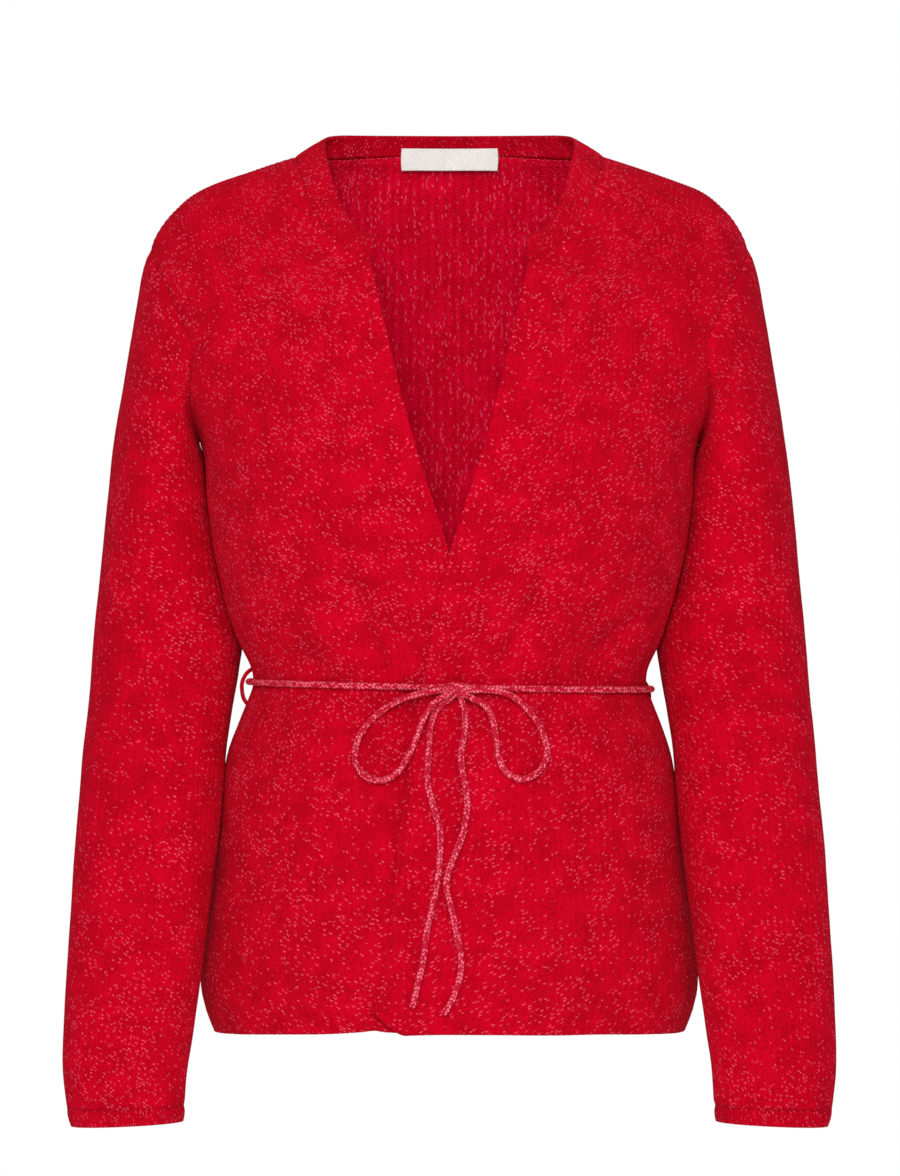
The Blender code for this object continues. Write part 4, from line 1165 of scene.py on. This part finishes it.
def make_back(name, materials):
    """The back, from side seam to side seam."""
    half = back_patch()
    half_points, _ = cloth(half[..., 0], half[..., 1], "back")
    half_ribs = back_ribs(half_points)
    other = half[:, ::-1] * TURN_OVER
    other[:, -1, 0] = 180.0
    patch = np.concatenate([other[:, :-1], half], axis=1)
    patch[:, :other.shape[1] - 1, 0] += 360.0
    ribs = np.concatenate([-half_ribs[:, :0:-1], half_ribs], axis=1)
    outer, normal = cloth(patch[..., 0], patch[..., 1], "back")
    near = seams_near(outer)
    turned = np.where(patch[..., 0] > 180.0, patch[..., 0] - 360.0, patch[..., 0])
    outer = part_seams(hem_finish(settle(outer, normal, 15), normal), turned, "back")
    courses = arc_along(outer, 0) / COURSE
    ribs = ribs + RIB_WANDER * wander(outer, 60.0, 25)
    return dress(name, outer, normal, ribs, courses, near, False, materials)


def ring_distance(rings):
    """How far along the sleeve each point lies, and how far round its ring, in millimetres."""
    along = arc_along(rings, 0)
    closed = np.concatenate([rings, rings[:, :1]], axis=1)
    return along, arc_along(closed, 1)


def dress_ring(name, flip, outer, normal, around, count, courses, near, materials):
    """Dresses a sleeve or a cuff with that many ribs round it. The wearer's right one is mirrored."""
    ribs = around[:, :-1] / around[:, -1:] * count
    if flip < 0:
        order = np.concatenate([[0], np.arange(outer.shape[1] - 1, 0, -1)])
        outer, normal, near, courses = outer[:, order], normal[:, order], near[:, order], courses[:, order]
        ribs = count - ribs[:, order]
        ribs[:, 0] = 0.0
    sign = np.array([flip, 1.0, 1.0])
    return dress(name, outer * sign, normal * sign, ribs, courses, near, True, materials)


def make_sleeve(name, flip, materials):
    """A long sleeve from the armhole to its cuff seam."""
    rings, _, normal = sleeve_rings()
    normal = normal[:-1]
    along, around = ring_distance(rings)
    near = np.minimum(along, along[-1:] - along)
    outer = settle(rings, normal, 31 if flip > 0 else 37)
    outer[0] = rings[0]
    outer[-1] = rings[-1]
    courses = (along[-1:] - along) / COURSE
    return dress_ring(name, flip, outer, normal, around, SLEEVE_RIBS, courses, near, materials)


def make_cuff(name, flip, materials):
    """The narrow band of finer ribs at the wrist."""
    rings, wrist, normal = sleeve_rings()
    first = rings[-1]
    shares = np.linspace(SEAM_GAP / CUFF_LENGTH, 1.0, CUFF_ROWS + 1)
    outer = np.array([first + (wrist - first) * share for share in shares])
    facing = unit(np.array([normal[-2] + (normal[-1] - normal[-2]) * share for share in shares]))
    along, around = ring_distance(outer)
    outer = outer + facing * (CUFF_SWELL * np.sin(np.pi * shares))[:, None, None]
    return dress_ring(name, flip, outer, facing, around, CUFF_RIBS, -along / COURSE, along, materials)


def make_neckband(name, materials):
    """The rib band that goes round the back neck and ends short of the front edges."""
    seam, edge, seam_normal = neckband_half()
    across = unit(edge - seam)
    shares = np.linspace(0.0, 1.0, BAND_ROWS + 1)
    start = seam + across * SEAM_GAP
    half = np.array([start + share * (edge - start) for share in shares])
    other = half[:, ::-1] * MIRROR
    whole = np.concatenate([half, other[:, 1:]], axis=1)
    normal = directions(whole, False)
    normal[0] = np.concatenate([seam_normal, seam_normal[::-1][1:] * MIRROR])
    middle = arc_along(whole, 1)[BAND_ROWS // 2]
    ribs = np.broadcast_to(middle / BAND_RIB_PITCH, whole.shape[:2])
    up = arc_along(whole, 0)
    near = np.minimum(up, 2.0 * (up[-1:] - up) + 1.2)
    swell = BAND_SWELL * np.sin(np.pi * shares)[:, None, None]
    return dress(name, whole + normal * swell, normal, ribs, up / COURSE, near, False, materials)


def frames(points):
    """Two sideways directions along a path, turned as little as possible from point to point."""
    ahead = unit(np.gradient(points, axis=0))
    side = unit(np.cross(ahead[0], np.array([0.0, -1.0, 0.02])))
    sides = []
    for way in ahead:
        side = unit(side - way * np.dot(side, way))
        sides.append(side)
    sides = np.array(sides)
    return sides, np.cross(ahead, sides)


def stitch_height(around, along):
    """Relief of the tubular knit: columns of V stitches, from 0 to 1."""
    across = np.abs(around % 1.0 - 0.5)
    leg = along - 1.3 * across
    ridge = 0.5 + 0.5 * np.cos(2 * np.pi * leg)
    between = 1 - np.exp(-(((0.5 - across) / 0.09) ** 2))
    centre = 1 - 0.6 * np.exp(-((across / 0.08) ** 2))
    return ridge * between * centre


def cord_tube(points, radius, tip_end, step):
    """A closed knitted tube along the points: its points, faces, UVs and centreline."""
    path = even(even(points, 200), max(8, int(round(path_along(points)[-1] / step))))
    along = path_along(path)
    side, over = frames(path)
    turn = np.linspace(0.0, 2 * np.pi, CORD_SIDES, endpoint=False)
    around = np.arange(CORD_SIDES) / CORD_SIDES * CORD_COLUMNS + 0.5
    relief = stitch_height(around[None, :], (along / STITCH_LENGTH)[:, None])
    size = radius * (0.93 + 0.10 * relief)
    if tip_end:
        tip = along[-1] - along
        size = size * np.sqrt(np.clip(1 - (1 - np.clip(tip / TIP_LENGTH, 0.0, 1.0)) ** 2, 0.04, 1.0))[:, None]
        size = size + (TIP_RIDGE * np.exp(-(((tip - TIP_RIDGE_BACK) / TIP_RIDGE_WIDTH) ** 2)))[:, None]
    ring = np.cos(turn)[None, :, None] * side[:, None, :] + np.sin(turn)[None, :, None] * over[:, None, :]
    grid = path[:, None, :] + ring * size[:, :, None]
    rows = len(path)
    r, c = grid_quads(rows, CORD_SIDES, True)
    quads = (r * CORD_SIDES + c % CORD_SIDES)[:, ::-1]
    u = c / CORD_SIDES * CORD_COLUMNS + 0.5
    uv = np.stack([u, along[r] / STITCH_LENGTH], axis=-1)[:, ::-1]
    caps, cap_uv = [], []
    half = CORD_SIDES // 2
    for row, way in ((0, 1), (rows - 1, -1)):
        for i in range(half - 1):
            corner = np.array([i, i + 1, CORD_SIDES - 2 - i, CORD_SIDES - 1 - i]) + row * CORD_SIDES
            caps.append(corner[::way])
            cap_uv.append(np.tile([0.5, along[row] / STITCH_LENGTH], (4, 1)))
    quads = np.concatenate([quads, np.array(caps)])
    uv = np.concatenate([uv, np.array(cap_uv)])
    return grid.reshape(-1, 3), quads, uv, path


def cord_mesh(name, points, material, radius, tip_end=False, step=CORD_STEP):
    """A knitted cord as its own piece, with its centreline."""
    grid, quads, uv, path = cord_tube(points, radius, tip_end, step)
    return make_object(name, grid, quads, uv, np.zeros(len(quads)), [material]), path


def knot_mesh(name, strands, material):
    """The knot's strands as one piece."""
    grids, faces, uvs, shift = [], [], [], 0
    for strand in strands:
        grid, quads, uv, _ = cord_tube(strand, KNOT_RADIUS, False, 0.5)
        grids.append(grid)
        faces.append(quads + shift)
        uvs.append(uv)
        shift += len(grid)
    faces = np.concatenate(faces)
    grids, uvs = np.concatenate(grids), np.concatenate(uvs)
    return make_object(name, grids, faces, uvs, np.zeros(len(faces)), [material])


def knot_strands(waist):
    """Centrelines of the strands that cross in the bow's knot and join the cord's stretches."""
    strands = [cord_points(route) for route in KNOT_ROUTES]
    strands.append(np.concatenate([waist[-1:], cord_points(KNOT_FROM_RIGHT)]))
    strands.append(np.concatenate([waist[:1], cord_points(KNOT_FROM_LEFT)]))
    return strands


def carrier_points(side):
    """The centreline of a belt carrier."""
    angle = CARRIER_ANGLES[side]
    panel = "back" if side == "left" else "right"
    points = []
    for above, proud in CARRIER_ROUTE:
        place, normal = cloth_at(angle, belt_height(angle) + above, panel)
        points.append(place + normal * proud)
    return np.array(points)


def make_label(name, material):
    """The blank woven label at the centre back, bowed a little between its sewn ends."""
    seam, edge, _ = neckband_half()
    path = (seam + LABEL_HANG * (edge - seam))[BAND_FRONT_COLUMNS:]
    order = np.argsort(path[:, 0])
    across = np.linspace(-LABEL_WIDTH / 2, LABEL_WIDTH / 2, 61)
    depth = np.interp(np.abs(across), path[order, 0], path[order, 1]) - WALL - LABEL_GAP
    down = np.linspace(LABEL_HEIGHT, 0.0, 17)
    share = np.abs(across) / (LABEL_WIDTH / 2)
    bow = LABEL_BOW * (1 - share**2) + LABEL_RIPPLE * np.sin(across / 7.0)
    side_bow = np.sin(np.pi * down / LABEL_HEIGHT)
    x = across[None, :] + np.sign(across)[None, :] * 0.5 * side_bow[:, None] * share[None, :] ** 8
    y = depth[None, :] - bow[None, :] * (down / LABEL_HEIGHT)[:, None] ** 1.5
    z = LABEL_TOP - down[:, None] - LABEL_SAG * (share[None, :] ** 6) * (down / LABEL_HEIGHT)[:, None]
    back_side = np.stack([x, y, z], axis=-1)
    outer = back_side - np.array([0.0, LABEL_THICKNESS, 0.0])
    uv = np.stack(np.broadcast_arrays(x / 0.55, z / 0.35), axis=-1)
    return shell(name, outer, back_side, False, uv, [material, material])


def linking_row(name, material):
    """Small pale stitches inside the back, where the neckband is linked on."""
    seam, _, normal = neckband_half()
    back_seam, back_normal = seam[BAND_FRONT_COLUMNS:], normal[BAND_FRONT_COLUMNS:]
    whole = np.concatenate([back_seam, (back_seam[::-1] * MIRROR)[1:]])
    facing = np.concatenate([back_normal, (back_normal[::-1] * MIRROR)[1:]])
    along = path_along(whole)
    at = np.arange(6.0, along[-1] - 6.0, LINK_PITCH)
    place = np.stack([np.interp(at, along, whole[:, i]) for i in range(3)], axis=1)
    out = np.stack([np.interp(at, along, facing[:, i]) for i in range(3)], axis=1)
    ahead = unit(np.gradient(place, axis=0))
    place = place - out * (WALL + 0.25)
    random = np.random.default_rng(5)
    points, quads, uvs = [], [], []
    rings, sides = LINK_RINGS, LINK_SIDES
    for i, (middle, way, up) in enumerate(zip(place, ahead, out)):
        over = np.cross(way, up)
        long_half = 0.9 * random.uniform(0.8, 1.15)
        lean = random.uniform(-0.35, 0.35)
        first = len(points)
        for k in range(rings):
            t = -1 + 2 * k / (rings - 1)
            radius = 0.36 * np.sqrt(max(1.08 - t * t, 0.0))
            for j in range(sides):
                a = 2 * np.pi * j / sides
                round_way = over * (lean * t + radius * np.cos(a)) + up * radius * np.sin(a)
                points.append(middle + way * t * long_half + round_way)
        for k in range(rings - 1):
            for j in range(sides):
                a, b = first + k * sides + j, first + k * sides + (j + 1) % sides
                quads.append((a, a + sides, b + sides, b))
                uvs.append([(i, k), (i, k + 1), (i + 0.2, k + 1), (i + 0.2, k)])
        for row, turn in ((0, 1), (rings - 1, -1)):
            for k in range(sides // 2 - 1):
                corner = [first + row * sides + n for n in (k, k + 1, sides - 2 - k, sides - 1 - k)]
                quads.append(tuple(corner[::turn]))
                uvs.append([(i, k)] * 4)
    quads = np.array(quads)
    return make_object(name, np.array(points), quads, np.array(uvs), np.zeros(len(quads)), [material])


def adopt(piece, node):
    """Puts a piece in its solid's place."""
    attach(piece, "root")
    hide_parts(node)
    return piece


def area_light(name, place, size, power):
    """A soft square light that looks at a point."""
    data = bpy.data.lights.new(name, "AREA")
    data.shape = "SQUARE"
    data.size = size
    data.energy = power
    light = place_object(name, data)
    light.location = place
    way = np.array(LIGHT_TARGET) - np.array(place)
    yaw, pitch = np.arctan2(-way[0], way[1]), np.arctan2(way[2], np.hypot(way[0], way[1]))
    light.rotation_euler = (np.pi / 2 + pitch, 0.0, yaw)


def stage():
    """Camera, floor, lights and a plain pale surround."""
    scene = bpy.context.scene
    camera = place_object("camera", bpy.data.cameras.new("camera"))
    camera.location = CAMERA_PLACE
    camera.rotation_euler = (np.pi / 2, 0.0, 0.0)
    camera.data.sensor_width = 36.0
    camera.data.lens = CAMERA_LENS
    camera.data.clip_end = 60.0
    scene.camera = camera

    mesh = bpy.data.meshes.new("floor")
    corners = [(x * FLOOR_HALF, y * FLOOR_HALF, 0.0) for x, y in ((-1, -1), (1, -1), (1, 1), (-1, 1))]
    mesh.from_pydata(corners, [], [(0, 1, 2, 3)])
    mesh.materials.append(floor_material("floor"))
    floor = place_object("floor", mesh)
    floor.location = (0.0, 0.0, FLOOR_HEIGHT)

    world = bpy.data.worlds.new("surround")
    scene.world = world
    world.use_nodes = True
    tree = world.node_tree
    ground = tree.nodes["Background"]
    ground.inputs["Color"].default_value = WHITE
    ground.inputs["Strength"].default_value = WORLD_LIGHT
    plain = tree.nodes.new("ShaderNodeBackground")
    plain.inputs["Color"].default_value = WHITE
    plain.inputs["Strength"].default_value = 1.0
    ray = tree.nodes.new("ShaderNodeLightPath")
    mix = tree.nodes.new("ShaderNodeMixShader")
    tree.links.new(ray.outputs["Is Camera Ray"], mix.inputs[0])
    tree.links.new(ground.outputs[0], mix.inputs[1])
    tree.links.new(plain.outputs[0], mix.inputs[2])
    tree.links.new(mix.outputs[0], tree.nodes["World Output"].inputs["Surface"])

    for name, place, size, power in LIGHTS:
        area_light(name, place, size, power)
    scene.view_settings.view_transform = "Standard"


def main():
    stage()
    knit = knit_material("knit")
    lining = knit_material("knit_inside", inside=True, trough_shade=0.25)
    band = knit_material("knit_band", trough_shade=0.25, cover=0.75, fine=True)
    cord = cord_material("cord")
    both = [knit, lining]

    adopt(make_front("left_front_knit", "left", both), "left_front")
    adopt(make_front("right_front_knit", "right", both), "right_front")
    adopt(make_back("back_knit", both), "back")
    for side, flip in (("left", 1.0), ("right", -1.0)):
        sleeve, cuff = side + "_sleeve", side + "_cuff"
        adopt(make_sleeve(sleeve + "_knit", flip, both), sleeve)
        adopt(make_cuff(cuff + "_knit", flip, [band, lining]), cuff)
        loop, _ = cord_mesh(side + "_carrier_thread", carrier_points(side), knit, CARRIER_RADIUS, step=0.5)
        adopt(loop, side + "_carrier")
    adopt(make_neckband("neckband_rib", [band, band]), "neckband")
    adopt(make_label("label_ribbon", label_material("label")), "label")
    link = linking_row("neck_linking", thread_material("linking_thread"))
    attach(link, "root")

    routes = (
        ("belt_waist", waist_points(), "object", "taut", False),
        ("belt_bow_left", cord_points(BOW_LEFT_ROUTE), "object", "loose", False),
        ("belt_bow_right", cord_points(BOW_RIGHT_ROUTE), "object", "loose", False),
        ("belt_tail_left", cord_points(TAIL_LEFT_ROUTE), "bare", "hanging", True),
        ("belt_tail_right", cord_points(TAIL_RIGHT_ROUTE), "bare", "hanging", True),
    )
    for node, points, far_end, lay, tip in routes:
        piece, path = cord_mesh(node + "_cord", points, cord, CORD_RADIUS, tip_end=tip)
        adopt(piece, node)
    adopt(knot_mesh("belt_knot_wrap", knot_strands(waist_points()), cord), "belt_knot")


main()
